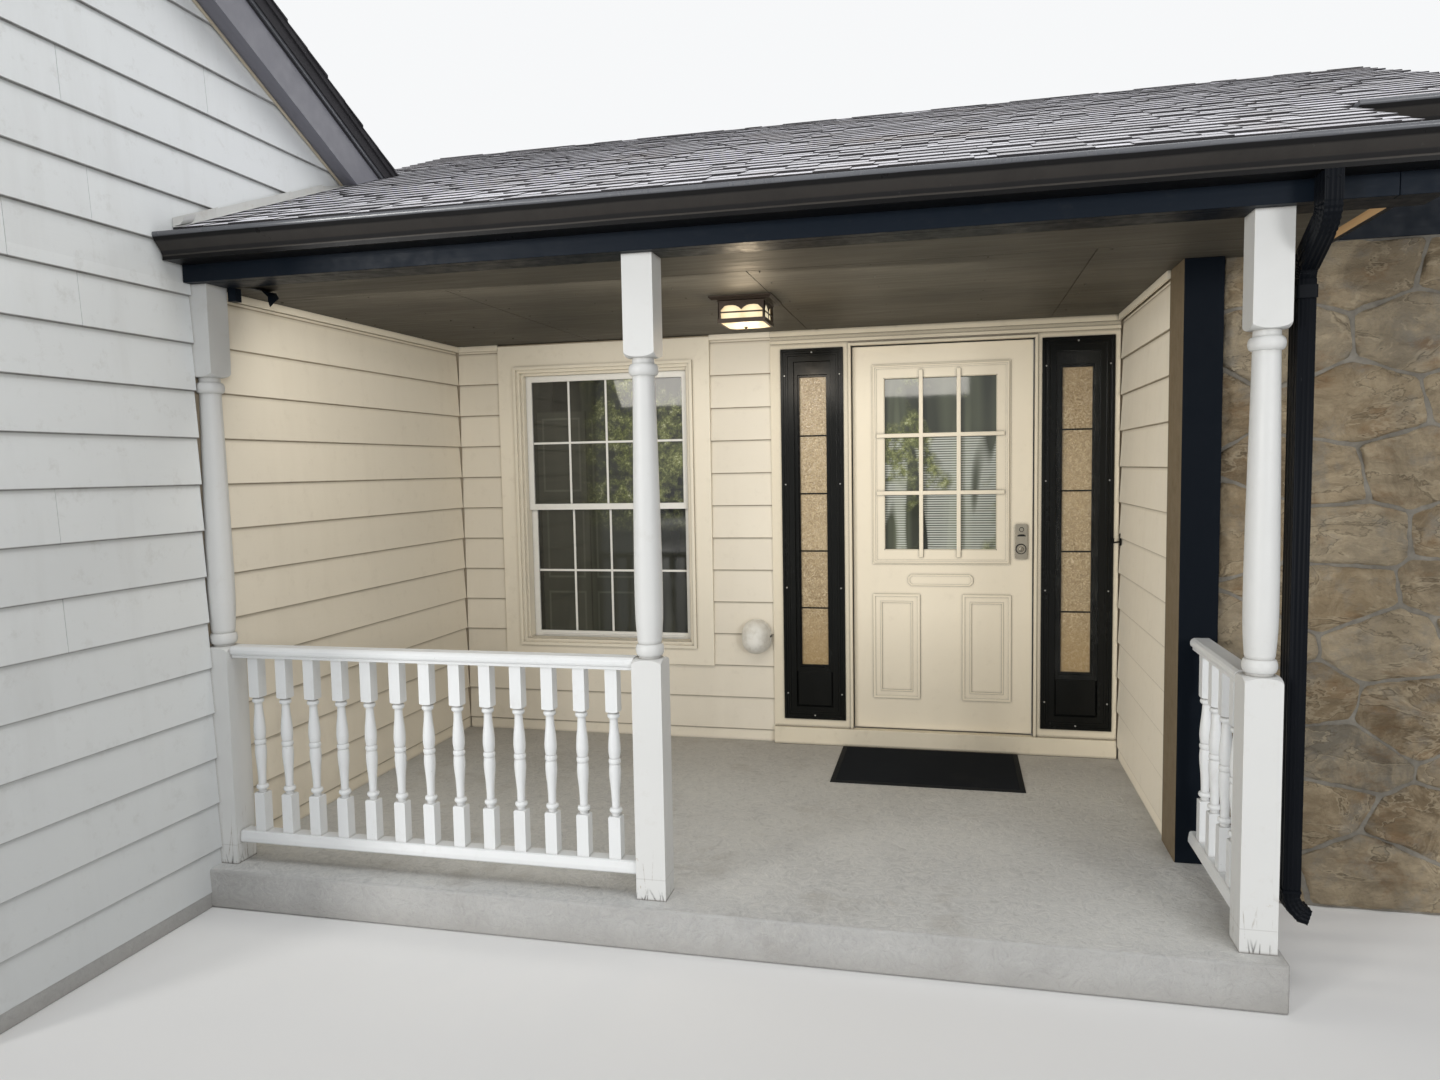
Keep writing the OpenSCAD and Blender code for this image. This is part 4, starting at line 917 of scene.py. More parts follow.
def back_spans(z):
    full = (always(LEFT_X + 0.0012), always(UNIT_X0))
    if casing_low.z < z < casing_high.z:
        return [(full[0], always(casing_low.x)), (always(casing_high.x), full[1])]
    return [full]


lap_wall(back_boards, PLACES["back"], SKIRT_Z, COVE_Z, back_spans, cuts=[casing_low.z], seed=120)
back_boards.make("back_siding_boards", "siding_cream", replaces=["back_siding"])


# Stone facing
STONE_LOW, STONE_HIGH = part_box("stone_facing")
JOINT = 0.0064
SQUASH = 0.60
STONE_POINTS = 72
RELIEF, DEEPEST, STONE_FOOT = 0.016, 0.0195, 0.045
# How each stone's face comes forward: share of its outline, depth behind the face
STONE_RINGS = ((1.0, 0.034), (1.0, 0.016), (0.988, 0.009), (0.965, 0.004), (0.92, 0.001), (0.85, 0.0),
    (0.75, 0.0), (0.64, 0.0), (0.52, 0.0), (0.40, 0.0), (0.27, 0.0), (0.13, 0.0))


def sides_of(poly):
    return list(zip(poly, poly[1:] + poly[:1]))


def clip(poly, point, normal):
    """The part of a flat outline on the near side of a line."""
    kept = []
    for a, b in sides_of(poly):
        da = (a - point).dot(normal)
        db = (b - point).dot(normal)
        if da <= 0:
            kept.append(a)
        if (da < 0 < db) or (db < 0 < da):
            kept.append(a.lerp(b, da / (da - db)))
    return kept


def stone_cells():
    """Outlines of the stones: a Voronoi pattern drawn squashed, so that level joints rule."""
    columns, rows = 2, 11
    low_x, high_x = STONE_LOW.x * SQUASH, STONE_HIGH.x * SQUASH
    width = (high_x - low_x) / columns
    height = (STONE_HIGH.z - STONE_LOW.z) / rows
    seeds = []
    for r in range(rows):
        for c in range(columns + 1):
            shift = 0.5 if r % 2 else 0.0
            x = low_x + (c + shift + rng.uniform(-0.30, 0.30)) * width
            z = STONE_LOW.z + (r + 0.5 + rng.uniform(-0.26, 0.26)) * height
            seeds.append(Vector((x, z)))
    frame_ring = [Vector(p) for p in corners(low_x, STONE_LOW.z, high_x, STONE_HIGH.z)]
    for i, seed in enumerate(seeds):
        cell = list(frame_ring)
        for j, other in enumerate(seeds):
            if i != j and cell:
                cell = clip(cell, (seed + other) / 2, (other - seed).normalized())
        if len(cell) > 2:
            yield [Vector((p.x / SQUASH, p.y)) for p in cell]


def shrunk(poly, gap):
    """The outline with each of its sides moved inwards by a gap."""
    middle = sum(poly, Vector((0, 0))) / len(poly)
    made = list(poly)
    for a, b in sides_of(poly):
        if (b - a).length < 1e-5 or not made:
            continue
        side = (b - a).normalized()
        normal = Vector((side.y, -side.x))
        if (middle - a).dot(normal) > 0:
            normal.negate()
        made = clip(made, a - normal * gap, normal)
    return made


def rounded(poly, cuts=(0.05, 0.18)):
    """The outline with its corners cut back, unevenly, twice over."""
    for cut in cuts:
        poly = [p for a, b in sides_of(poly) for p in (a.lerp(b, cut), a.lerp(b, 1 - cut))]
    return poly


def even_ring(poly, count):
    """The same outline with evenly spaced points."""
    sides = [(a, b, (b - a).length) for a, b in sides_of(poly)]
    total, ring = sum(length for a, b, length in sides), []
    for k in range(count):
        left = total * k / count
        for a, b, length in sides:
            if left <= length:
                ring.append(a.lerp(b, left / max(length, 1e-9)))
                break
            left -= length
    return ring


def stone(shape, inner, key):
    outline = even_ring(rounded(inner), STONE_POINTS)
    middle = sum(outline, Vector((0, 0))) / len(outline)
    tilt = Vector((rng.uniform(-0.03, 0.03), rng.uniform(-0.03, 0.03)))
    proud = rng.uniform(0.0, 0.008)
    rings = []
    for share, drop in STONE_RINGS:
        ring = []
        for p in outline:
            q = middle + (p - middle) * share
            rough = noise.fractal(Vector((q.x * 8, q.y * 12, key * 5.7)), 0.7, 2.3, 6)
            ledge = noise.noise(Vector((q.x * 5, q.y * 15, key * 3.3)))
            rough += 0.9 * math.floor(ledge * 4) / 4
            edge = noise.fractal(Vector((q.x * 14, q.y * 14, key * 2.2)), 0.8, 2.2,
                4) * 0.008 * (share > 0.93)
            q = q + (q - middle).normalized() * edge
            depth = drop + proud + 0.0075 + rough * RELIEF + tilt.dot(q - middle)
            depth = min(max(depth, 0.0), DEEPEST) if drop < 0.03 else STONE_FOOT
            ring.append((q.x, STONE_LOW.y + depth, q.y))
        rings.append(ring)
    shape.loft(rings)


stones = Shape()
for number, cell in enumerate(stone_cells()):
    inner = shrunk(cell, JOINT)
    if len(inner) > 2:
        stone(stones, inner, number)
stones.make("facing_stones", "stone", sharp=60)
joints = Shape()
joints.box((STONE_LOW.x, STONE_LOW.y + 0.0205, STONE_LOW.z), (STONE_HIGH.x, STONE_HIGH.y, STONE_HIGH.z))
joints.make("facing_mortar", "stone", mats=[MORTAR], replaces=["stone_facing"])


# Roof shingles
EXPOSURE, WING_EXPOSURE = 0.093, 0.143
RUN = EXPOSURE * math.cos(math.atan(ROOF_SLOPE))
VERGE_X = hi("beam").x - 0.076
MAIN_EAVE = solids("eave_boards")[-1][0].y
TAB_RISE = 0.0056
TAB_T, TAB_LOW = 0.0076, 0.0125
SHEET_TOP = 0.0100
EAVE_LIP = 0.030
STRIP_LENGTH, TAB_WIDTH, TAB_SPACE, SPACED = (0.75, 1.0), (0.09, 0.30), (0.05, 0.17), 0.62


def tab(shape, x0, x1, y0, y1, lift, wobble=0.002):
    """One shingle tab: a thin wedge that lies on the course below it."""
    a = y0 + rng.uniform(-wobble, wobble)
    b = y0 + rng.uniform(-wobble, wobble)
    ends = ((x0, a, 0), (x1, b, 0), (x1, y1, 1), (x0, y1, 1))
    shape.loft([[(x, y, roof_z(y) - depths[back]) for x, y, back in ends]
        for depths in ((TAB_T, TAB_LOW), (lift, lift + TAB_RISE))])
    # the front and end faces take the dark edge material: painted shadow along each course's butt
    for side in (-6, -5, -3):
        shape.slots[side] = 1


def shingle_row(shape, x0, x1, y0, y1):
    """A row in two plies: a full strip, and over it tabs of uneven width with gaps between them."""
    x = x0
    while x < x1 - 1e-6:
        end = min(x + rng.uniform(*STRIP_LENGTH), x1)
        tab(shape, x, end - 0.001, y0 + 0.003, y1, 0.0036, 0.0006)
        x = end
    x = x0
    while x < x1 - 0.03:
        end = min(x + rng.uniform(*TAB_WIDTH), x1)
        tab(shape, x, end, y0, y1, rng.uniform(0, 0.0008))
        x = end + (rng.uniform(*TAB_SPACE) if rng.random() < SPACED else 0.002)


roof = Shape()
eave_y, ridge_y = ROOF_LOW.y, ROOF_HIGH.y
wing_meet = meet_y(RAKE_H + WING_TRIM + WING_TABS)
rows = math.ceil((ridge_y - eave_y) / RUN)
for r in range(rows):
    y0 = eave_y + r * RUN
    y1 = min(y0 + RUN + 0.018, ridge_y)
    x1 = VERGE_X if y0 < MAIN_EAVE - EAVE_LIP else ROOF_HIGH.x
    x0 = LEFT_X if y0 < wing_meet else ROOF_LOW.x
    shingle_row(roof, x0, x1, y0, y1)
    if x1 == VERGE_X and y1 > MAIN_EAVE:
        shingle_row(roof, VERGE_X, ROOF_HIGH.x, MAIN_EAVE - EAVE_LIP, y1)
    if x0 == LEFT_X and y1 > wing_meet:
        shingle_row(roof, ROOF_LOW.x, LEFT_X, wing_meet + 0.001, y1)


def roof_sheet(shape, x0, x1, y0, y1, top=SHEET_TOP, bottom=SHINGLE_T):
    """The under sheet of a stretch of roof, between two depths under the shingles' faces."""
    ring = [(y, roof_z(y) - depth) for y, depth in ((y0, bottom), (y1, bottom), (y1, top), (y0, top))]
    shape.prism(ring, x0, x1)


roof_sheet(roof, LEFT_X, VERGE_X, eave_y + 0.004, MAIN_EAVE)
roof_sheet(roof, LEFT_X, ROOF_HIGH.x, MAIN_EAVE - 0.026, ridge_y)
roof_sheet(roof, ROOF_LOW.x, LEFT_X, wing_meet, ridge_y)
roof.make("porch_shingles", "shingle", replaces=["shingles"], sharp=20, mats=[MATS["shingle"], TAB_EDGE_SHADE])

# Wing roof: drip edge, dark band and stepped shingle courses
WING_X0, WING_X1 = lo("wing_roof").x, hi("wing_roof").x


def rake_prism(shape, x0, x1, h0, h1, slot=0):
    ring = ((WING_Y, h0), (meet_y(h0), h0), (meet_y(h1), h1), (WING_Y, h1))
    shape.prism([(y, rake_z(y, h)) for y, h in ring], x0, x1, slot)


wing = Shape()
# the recessed strip just above the rake board takes the dark shingle colour: painted shade under the drip
# edge
rake_prism(wing, WING_X0, WING_X1 - 0.030, RAKE_H, RAKE_H + 0.010, 1)
rake_prism(wing, WING_X0, WING_X1 - 0.022, RAKE_H + 0.010, RAKE_H + 0.026)
rake_prism(wing, WING_X0, WING_X1 - 0.016, RAKE_H + 0.026, RAKE_H + WING_TRIM + 0.030, 1)
top_h = RAKE_H + WING_TRIM + WING_TABS
rake_prism(wing, WING_X0, WING_X1 - 0.008, RAKE_H + WING_TRIM + 0.030, top_h - 0.012, 1)
wing_run = WING_EXPOSURE * math.cos(math.atan(WING_SLOPE))
y_top, k = WING_Y, 0
while y_top < meet_y(top_h) - 0.01:
    y_low = min(y_top + wing_run, meet_y(top_h) - 0.002)
    width = WING_X1 - WING_X0
    split = WING_X0 + width * rng.uniform(0.3, 0.7)
    for xa, xb in ((WING_X0, split - 0.001), (split + 0.001, WING_X1 - rng.uniform(0.0, 0.006))):
        high = rng.uniform(0.0, 0.0015)
        upper = y_top - (0.01 if k else 0)
        ring = ((upper, -0.013), (y_low, -0.012), (y_low, -high), (upper, -0.009))
        wing.prism([(y, rake_z(y, top_h + d)) for y, d in ring], xa, xb, 1)
    y_top, k = y_low, k + 1
wing.make("wing_roof_edge", "dark_shingle", mats=[MATS["gutter_metal"], MATS["dark_shingle"]],
    replaces=["wing_roof"], sharp=20)

caulk = Shape()
rake_prism(caulk, LEFT_X, LEFT_X + 0.012, -0.005, 0.0)
caulk.make("rake_caulk", "cream_paint", mats=[BEIGE])

# Step flashing along the wing wall: short lapped angles, one of them bent and rusted through
FLASH_T, FLASH_STEP, FLASH_LAP = 0.0012, 0.235, 0.012
flash = Shape()
flash_end = meet_y(0.0)
y, k = eave_y, 0
while y < flash_end - 0.02:
    y1 = min(y + FLASH_STEP, flash_end)
    up = 0.036 - 0.014 * (y - eave_y) / (flash_end - eave_y) + rng.uniform(-0.004, 0.002)
    off = 0.0008 + 0.0009 * (k % 2)
    rise = [(y, 0.001), (y1, 0.001), (y1, up if y1 < flash_end else 0.004), (y, up)]
    flash.prism([(yy, roof_z(yy) + h) for yy, h in rise], LEFT_X + off, LEFT_X + off + FLASH_T)
    flat = [(0.001, 0.0006), (0.040, 0.0006), (0.040, 0.0018), (0.001, 0.0018)]
    flash.loft([[(LEFT_X + x, yy, roof_z(yy) + h + 0.0006 * (k % 2)) for x, h in flat] for yy in (y, y1)])
    y, k = y1 - FLASH_LAP, k + 1
torn = [(0.0, 0.0), (0.020, 0.002), (0.034, 0.014), (0.041, 0.030)]
for step in range(3):
    (xa, za), (xb, zb) = torn[step], torn[step + 1]
    flash.loft([[(LEFT_X + x + 0.002, yy, roof_z(yy) + z + t) for x, z in ((xa, za), (xb, zb))]
        + [(LEFT_X + x + 0.002, yy, roof_z(yy) + z + t + FLASH_T) for x, z in ((xb, zb), (xa, za))]
        for yy, t in ((eave_y + 0.01, 0.004), (eave_y + 0.07, 0.001))])
flash.make("step_flashing_pieces", "white_metal", replaces=["step_flashing"])

# Downspout
PIPE_W, PIPE_D = 0.051, 0.076
PIPE_LOW, PIPE_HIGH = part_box("downspout")
PIPE_X = PIPE_LOW.x + 0.003 + PIPE_W / 2
PIPE_Y0 = PIPE_LOW.y + PIPE_D / 2
PIPE_Y1 = PIPE_HIGH.y - 0.003 - PIPE_D / 2
BEND_R = 0.027 + PIPE_D / 2
BEND_A = math.radians(60)
FOOT_R = 0.045 + PIPE_W / 2
FOOT_A = math.radians(75)
BEND_STEPS = 36


def fluted(width, depth, pull, flute=0.0026):
    """The pipe's section: a rounded rectangle with shallow flutes, drawn in by pull."""
    w, d = width / 2 - pull, depth / 2 - pull
    ring = []
    for side, (along, across, flutes) in enumerate(((w, d, 4), (d, w, 3), (w, d, 4), (d, w, 3))):
        steps = 6 * flutes
        for i in range(steps):
            t = i / steps
            corner = min(t, 1 - t) * 2 * along
            groove = flute * (0.5 - 0.5 * math.cos(math.tau * flutes * t))
            groove += max(0.0, 0.005 - corner) * 0.45
            p = (-along + 2 * along * t, across - groove)
            a = -side * math.pi / 2
            ring.append((p[0] * math.cos(a) - p[1] * math.sin(a), p[0] * math.sin(a) + p[1] * math.cos(a)))
    return ring


pipe_rings = []


def pipe_ring(x, y, z, lean=0.0, foot=0.0, pull=0.0):
    """Adds one section: lean tips it in the plane of Y and Z, foot in the plane of X and Z."""
    ring = []
    for u, v in fluted(PIPE_W, PIPE_D, pull):
        px, py, pz = u * math.cos(foot), v * math.cos(lean), v * math.sin(lean) + u * math.sin(foot)
        ring.append((x + px, y + py, z + pz))
    pipe_rings.append(ring)


def crimp(t):
    """How far the pipe draws in along a bend, in six wrinkles."""
    return 0.0016 * (0.5 - 0.5 * math.cos(math.tau * 6 * t))


z_top = PIPE_HIGH.z
z_bend = z_top - 0.080
shift = 2 * BEND_R * (1 - math.cos(BEND_A))
slant = (PIPE_Y1 - PIPE_Y0 - shift) / math.sin(BEND_A)
pipe_ring(PIPE_X, PIPE_Y0, z_top)
for i in range(BEND_STEPS + 1):
    t = i / BEND_STEPS
    a = BEND_A * t
    pipe_ring(PIPE_X, PIPE_Y0 + BEND_R * (1 - math.cos(a)), z_bend - BEND_R * math.sin(a), a, pull=crimp(t))
z_second = z_bend - BEND_R * math.sin(BEND_A) - slant * math.cos(BEND_A)
for i in range(BEND_STEPS + 1):
    t = i / BEND_STEPS
    a = BEND_A * (1 - t)
    y = PIPE_Y1 - BEND_R * (1 - math.cos(a))
    z = z_second - BEND_R * (math.sin(BEND_A) - math.sin(a))
    pipe_ring(PIPE_X, y, z, a, pull=crimp(t))
z_low = FLOOR_Z + 0.170
z_straight = z_second - BEND_R * math.sin(BEND_A)
pipe_ring(PIPE_X, PIPE_Y1, z_low)
for i in range(1, 31):
    t = i / 30
    a = FOOT_A * t
    pipe_ring(PIPE_X + FOOT_R * (1 - math.cos(a)), PIPE_Y1, z_low - FOOT_R * math.sin(a), foot=a,
        pull=crimp(t) if t < 1 else 0.0)
mouth = pipe_rings[-1]
centre = sum((Vector(p) for p in mouth), Vector()) / len(mouth)
pipe = Shape()
inner = [tuple(centre + (Vector(p) - centre) * 0.95) for p in mouth]
back = Vector((-math.sin(FOOT_A), 0, math.cos(FOOT_A))) * 0.03
deep = [tuple(Vector(p) + back) for p in inner]
pipe.loft(pipe_rings + [inner, deep])


def pipe_band(z0, z1, out):
    """A collar or strap round the upright pipe."""
    outer = fluted(PIPE_W, PIPE_D, -out, 0.0)
    pipe.loft([[(PIPE_X + u, PIPE_Y1 + v, z) for u, v in outer] for z in (z0, z1)])


pipe_band(z_straight - 0.054, z_straight - 0.016, 0.0028)
pipe_band(z_low + 0.006, z_low + 0.014, 0.0016)
for side in (-1, 1):
    pipe.rod(*[(PIPE_X + side * 0.014, PIPE_Y0 - PIPE_D / 2 + out, z_top - 0.022)
        for out in (0.001, -0.0022)], 0.0034, 10)
pipe.make("downspout_pipe", "black_metal", replaces=["downspout"], sharp=30)

# Gutter straps, and the rolled lips along the gutters, in an enamel far paler than the gutter's: a painted
# highlight along each lip
STRAP_STEP, STRAP_HALF = 0.6, 0.012
straps = Shape()
for low, high in solids("gutters"):
    length = high.x - low.x
    count = max(2, round(length / STRAP_STEP))
    for i in range(count):
        x = low.x + length * (i + 0.5) / count
        straps.box((x - STRAP_HALF, low.y + 0.006, high.z - 0.012),
            (x + STRAP_HALF, high.y - 0.0005, high.z - 0.0095))
straps.make("gutter_straps", "gutter_metal", bevel=0.0006)
lips = Shape()
for low, high in solids("gutters"):
    lips.prism([(low.y + 0.001 - 0.0026 * c, high.z - 0.0075 + 0.0074 * s) for c, s in circle(16)],
        low.x + 0.0005, high.x - 0.0005)
lips.make("gutter_lips", "gutter_metal", mats=[LIP_HIGHLIGHT])


# Window bars, two sash locks and a lift rail
SASH_LOCKS = 0.27, 0.73


def cross_bars(shape, low, high, columns, rows, width, y0, y1, slot=0, over=0.0):
    """A grille of bars over a rectangle; the level bars lie a hair behind the upright ones."""
    for c in range(1, columns):
        x = low.x + (high.x - low.x) * c / columns
        shape.box((x - width / 2, y0, low.z - over), (x + width / 2, y1, high.z + over), slot)
    for r in range(1, rows):
        z = low.z + (high.z - low.z) * r / rows
        shape.box((low.x - over, y0 + 0.0005, z - width / 2), (high.x + over, y1, z + width / 2), slot)


bars = Shape()
for low, high in solids("window_glass", 2):
    cross_bars(bars, low, high, 4, 2, 0.012, low.y - 0.005, low.y + 0.0002)
sash_low, sash_high = solids("sashes", 2)[0]
for share in SASH_LOCKS:
    x, y, z = sash_low.x + (sash_high.x - sash_low.x) * share, sash_low.y, sash_high.z
    bars.box((x - 0.03, y + 0.002, z), (x + 0.03, y + 0.022, z + 0.006))
    bars.rod((x, y + 0.012, z + 0.006), (x, y + 0.012, z + 0.014), 0.010)
bars.box((sash_low.x + 0.05, sash_low.y - 0.005, sash_low.z + 0.010),
    (sash_high.x - 0.05, sash_low.y + 0.0005, sash_low.z + 0.016))
bars.make("window_bars", "white_plastic", bevel=0.0012)

# Door grille on both faces
glass_low, glass_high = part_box("door_glass")
slab_low, slab_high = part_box("door_slab")
grille = Shape()
for face, out in ((slab_low.y, -1), (slab_high.y, 1)):
    near, far = face + out * 0.0062, face + out * 0.0150
    cross_bars(grille, glass_low, glass_high, 3, 3, 0.021, min(near, far), max(near, far), over=0.038)
    pane = glass_low.y if out < 0 else glass_high.y
    inner_y = sorted((pane, face + out * 0.0070))
    cross_bars(grille, glass_low, glass_high, 3, 3, 0.016, inner_y[0], inner_y[1])
grille.make("door_grille", "door_paint", DOOR, bevel=0.0028)

SEAL_W = 0.0035
seal = Shape()
x0, x1, z0, z1 = glass_low.x, glass_high.x, glass_low.z, glass_high.z
for y0, y1 in ((slab_low.y - 0.0055, glass_low.y), (glass_high.y, slab_high.y + 0.0055)):
    for xa, za, xb, zb in ((x0, z0, x0 + SEAL_W, z1), (x1 - SEAL_W, z0, x1, z1), (x0, z0, x1, z0 + SEAL_W),
            (x0, z1 - SEAL_W, x1, z1)):
        seal.box((xa, y0, za), (xb, y1, zb))
seal.make("door_glass_seal", "door_paint", DOOR, mats=[MATS["trim_paint"]])

# Weather strip on the jambs and head, in the gap round the door, in the near-black shadow material: a real
# strip, darkened as painted shade in the gap
DOOR_GAP, STRIP_T = 0.005, 0.003
strip = Shape()
gap_x0, gap_x1, gap_z1 = slab_low.x - DOOR_GAP, slab_high.x + DOOR_GAP, slab_high.z + DOOR_GAP
for xa, za, xb in ((gap_x0, slab_low.z, gap_x0 + STRIP_T), (gap_x1 - STRIP_T, slab_low.z, gap_x1),
        (gap_x0, gap_z1 - STRIP_T, gap_x1)):
    strip.box((xa, slab_low.y + 0.003, za), (xb, slab_low.y + 0.024, gap_z1))
strip.make("door_weather_strip_gap_shade", "black_paint", mats=[SHADOW])

# Sidelight bars, screws and the storm pane on the right
SCREWS_UP, SCREW_IN, LEADS = (0.07, 0.36, 0.64, 0.93), 0.020, 5
leads, screws = Shape(), Shape()
panes = solids("sidelight_glass")
black_frames = solids("sidelight_frames")
storm_y = black_frames[0][0].y + 0.006
for (low, high), (box_low, box_high) in zip(panes, black_frames):
    for i in range(1, LEADS):
        z = low.z + (high.z - low.z) * i / LEADS
        leads.box((low.x, low.y - 0.004, z - 0.004), (high.x, low.y + 0.0003, z + 0.004))
    stiles = (box_low.x + SCREW_IN, box_high.x - SCREW_IN)
    spots = [(x, box_low.z + (box_high.z - box_low.z) * share) for x in stiles for share in SCREWS_UP]
    spots += [((box_low.x + box_high.x) / 2, z) for z in (box_low.z + SCREW_IN, box_high.z - SCREW_IN)]
    for x, z in spots:
        screws.rod((x, storm_y, z), (x, storm_y - 0.0024, z), 0.0042, 14,
            profile=[(0, 1), (0.45, 1), (1, 0.55)])
leads.make("sidelight_leads", "black_paint", bevel=0.0012)
screws.make("storm_screws", "steel")
box_low, box_high = black_frames[-1]
STORM_W, STORM_FOOT = 0.068, 0.19
storm = Shape()
storm.box((box_low.x + STORM_W - 0.004, storm_y + 0.004, box_low.z + STORM_W + STORM_FOOT),
    (box_high.x - STORM_W + 0.004, storm_y + 0.0065, box_high.z - STORM_W + 0.004))
storm.make("storm_pane", "amber_glass", mats=[CLEAR])

# Lock face: knurled turn, keyway, dark slot and two screws; the pieces in the shadow material (the ring
# round the turn, its centre and keyway, the slot and the top disc) are painted shade in those openings
LOCK_X = hi("door_slab").x - 0.054
LOCK_Z = slab_low.z + 0.916
KNURLS, KNURL_R = 28, 0.0212
lock = Shape()
face_y = slab_low.y - 0.028
plate_y = slab_low.y - 0.010
turn_x, turn_z = LOCK_X - 0.003, LOCK_Z + 0.052


def lock_disc(x, z, radius, y_far, y_near, slot=0, sides=32):
    lock.rod((x, y_far, z), (x, y_near, z), radius, sides, slot, [(0, 1), (0.8, 1), (1, 0.94)])


lock_disc(turn_x, turn_z, 0.0272, plate_y, plate_y - 0.0016, 1)
for c, s in circle(KNURLS):
    lock.rod(*[(turn_x + KNURL_R * c, y, turn_z + KNURL_R * s) for y in (plate_y - 0.0015, face_y + 0.004)],
        0.0016, 6)
lock_disc(turn_x, turn_z, 0.0128, face_y, face_y - 0.0006, 1)
lock_disc(turn_x, turn_z, 0.0108, face_y - 0.0005, face_y - 0.0022)
lock.box((turn_x - 0.0016, face_y - 0.0027, turn_z - 0.007),
    (turn_x + 0.0016, face_y - 0.002, turn_z + 0.007), 1)
arc = [(math.cos(math.pi * i / 16), math.sin(math.pi * i / 16)) for i in range(17)]
lock.loft([[(LOCK_X + 0.0215 * c, y, LOCK_Z + 0.1165 + 0.0115 * s) for c, s in arc]
    for y in (plate_y, plate_y - 0.0016)], 1)
lock_disc(LOCK_X, LOCK_Z + 0.152, 0.0122, plate_y, plate_y - 0.0012, 1)
for z in (LOCK_Z + 0.010, LOCK_Z + 0.171):
    lock.rod((LOCK_X, plate_y + 0.0002, z), (LOCK_X, plate_y - 0.0018, z), 0.0032, 12)
lock.make("lock_details", "nickel", DOOR, mats=[MATS["nickel"], SHADOW], bevel=0.0003)

# Porch light: a moulded plate, four sides with twin arched openings, a level bar and a heavy lower rim
PLATE_LOW, PLATE_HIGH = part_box("porch_light")
plate_half = (PLATE_HIGH.x - PLATE_LOW.x) / 2
body_half = (LAMP_HIGH.x - LAMP_LOW.x) / 2 + 0.011
body_top = CEIL_Z - 0.020
lantern = Shape()


def square_ring(half, z):
    x, y = LAMP_AT.x, LAMP_AT.y
    return [(*p, z) for p in corners(x - half, y - half, x + half, y + half)]


def lantern_side(outline, depth0, depth1, quarter):
    """A flat piece of one side: outline in (place along the side, height), between two depths."""
    c, s = math.cos(quarter * math.pi / 2), math.sin(quarter * math.pi / 2)
    rings = []
    for depth in (depth0, depth1):
        out = body_half - depth
        rings.append([(LAMP_AT.x + u * c + out * s, LAMP_AT.y + u * s - out * c, body_top + z)
            for u, z in outline])
    lantern.loft(rings)


def side_bar(u0, u1, z0, z1, depth0, depth1, quarter):
    lantern_side(corners(u0, z0, u1, z1), depth0, depth1, quarter)


# The moulded plate and the top of the body: half width, drop below the ceiling
PLATE_STEPS = ((plate_half, 0.0), (plate_half, 0.005), (plate_half - 0.003, 0.0075),
    (plate_half - 0.008, 0.011), (plate_half - 0.011, 0.0155), (body_half + 0.0035, 0.0185),
    (body_half + 0.0025, 0.022))
lantern.loft([square_ring(half, CEIL_Z - drop) for half, drop in PLATE_STEPS])
open_half = body_half - 0.010
arch = [(0.0, -0.040), (0.0, -0.037), (0.22, -0.018), (0.40, -0.016), (0.60, -0.0162), (0.74, -0.019),
    (0.86, -0.0245), (0.94, -0.030), (1.0, -0.036)]
for quarter in range(4):
    left_arch = [(-open_half * (1 - share), z) for share, z in arch]
    right_arch = [(-u, z) for u, z in reversed(left_arch[:-1])]
    lantern_side([(-body_half, 0.0)] + [(-body_half, -0.040)] + left_arch + right_arch
        + [(body_half, -0.040), (body_half, 0.0)], 0.0, 0.0050, quarter)
    for side in (-1, 1):
        u0, u1 = sorted((side * body_half, side * open_half))
        side_bar(u0, u1, -0.084, -0.0398, 0.0, 0.0050, quarter)
    side_bar(-open_half - 0.001, open_half + 0.001, -0.0475, -0.0415, 0.0008, 0.0044, quarter)
    if quarter % 2:
        side_bar(-0.003, 0.003, -0.074, -0.036, 0.0012, 0.0040, quarter)
    side_bar(-body_half - 0.002, body_half + 0.002, -0.0885, -0.0705, -0.0022, 0.0095, quarter)
lantern.rod((LAMP_AT.x, LAMP_AT.y, LAMP_LOW.z + 0.002), (LAMP_AT.x, LAMP_AT.y, PLATE_LOW.z), 0.0085, 20,
    profile=[(0, 0.8), (0.35, 1), (0.5, 0.55), (0.75, 0.8), (0.92, 0.6), (1, 0.2)])
lantern.make("lantern_frame", "bronze_metal", replaces=["porch_light"], bevel=0.0008)

# Door mat: a bevelled border round rows of ribbed pile
mat_low, mat_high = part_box("door_mat")
pile = Shape()
# The mat's border: how far in from its edge, how far above its foot
MAT_BORDER = ((0, 0), (0, 0.002), (0.006, 0.0045), (0.024, 0.0055))
steps = [corners(mat_low.x + i, mat_low.y + i, mat_high.x - i, mat_high.y - i) for i, rise in MAT_BORDER]
pile.loft([[(*p, mat_low.z + rise) for p in ring] for ring, (i, rise) in zip(steps, MAT_BORDER)])
rib_x0, rib_x1 = mat_low.x + 0.026, mat_high.x - 0.026
y, pitch, columns = mat_low.y + 0.028, 0.0088, 24
while y < mat_high.y - 0.030:
    section = [(y, 0.004), (y + 0.0058, 0.004), (y + 0.0052, 0.0085), (y + 0.0029, 0.0096),
        (y + 0.0006, 0.0085)]
    rings = []
    for i in range(columns + 1):
        x = rib_x0 + (rib_x1 - rib_x0) * i / columns
        sway = 0.0006 * noise.noise(Vector((x * 12, y * 40, 0)))
        rings.append([(x, yy + sway, mat_low.z + z) for yy, z in section])
    pile.loft(rings)
    y += pitch
pile.make("mat_pile", "mat", replaces=["door_mat"], sharp=50)

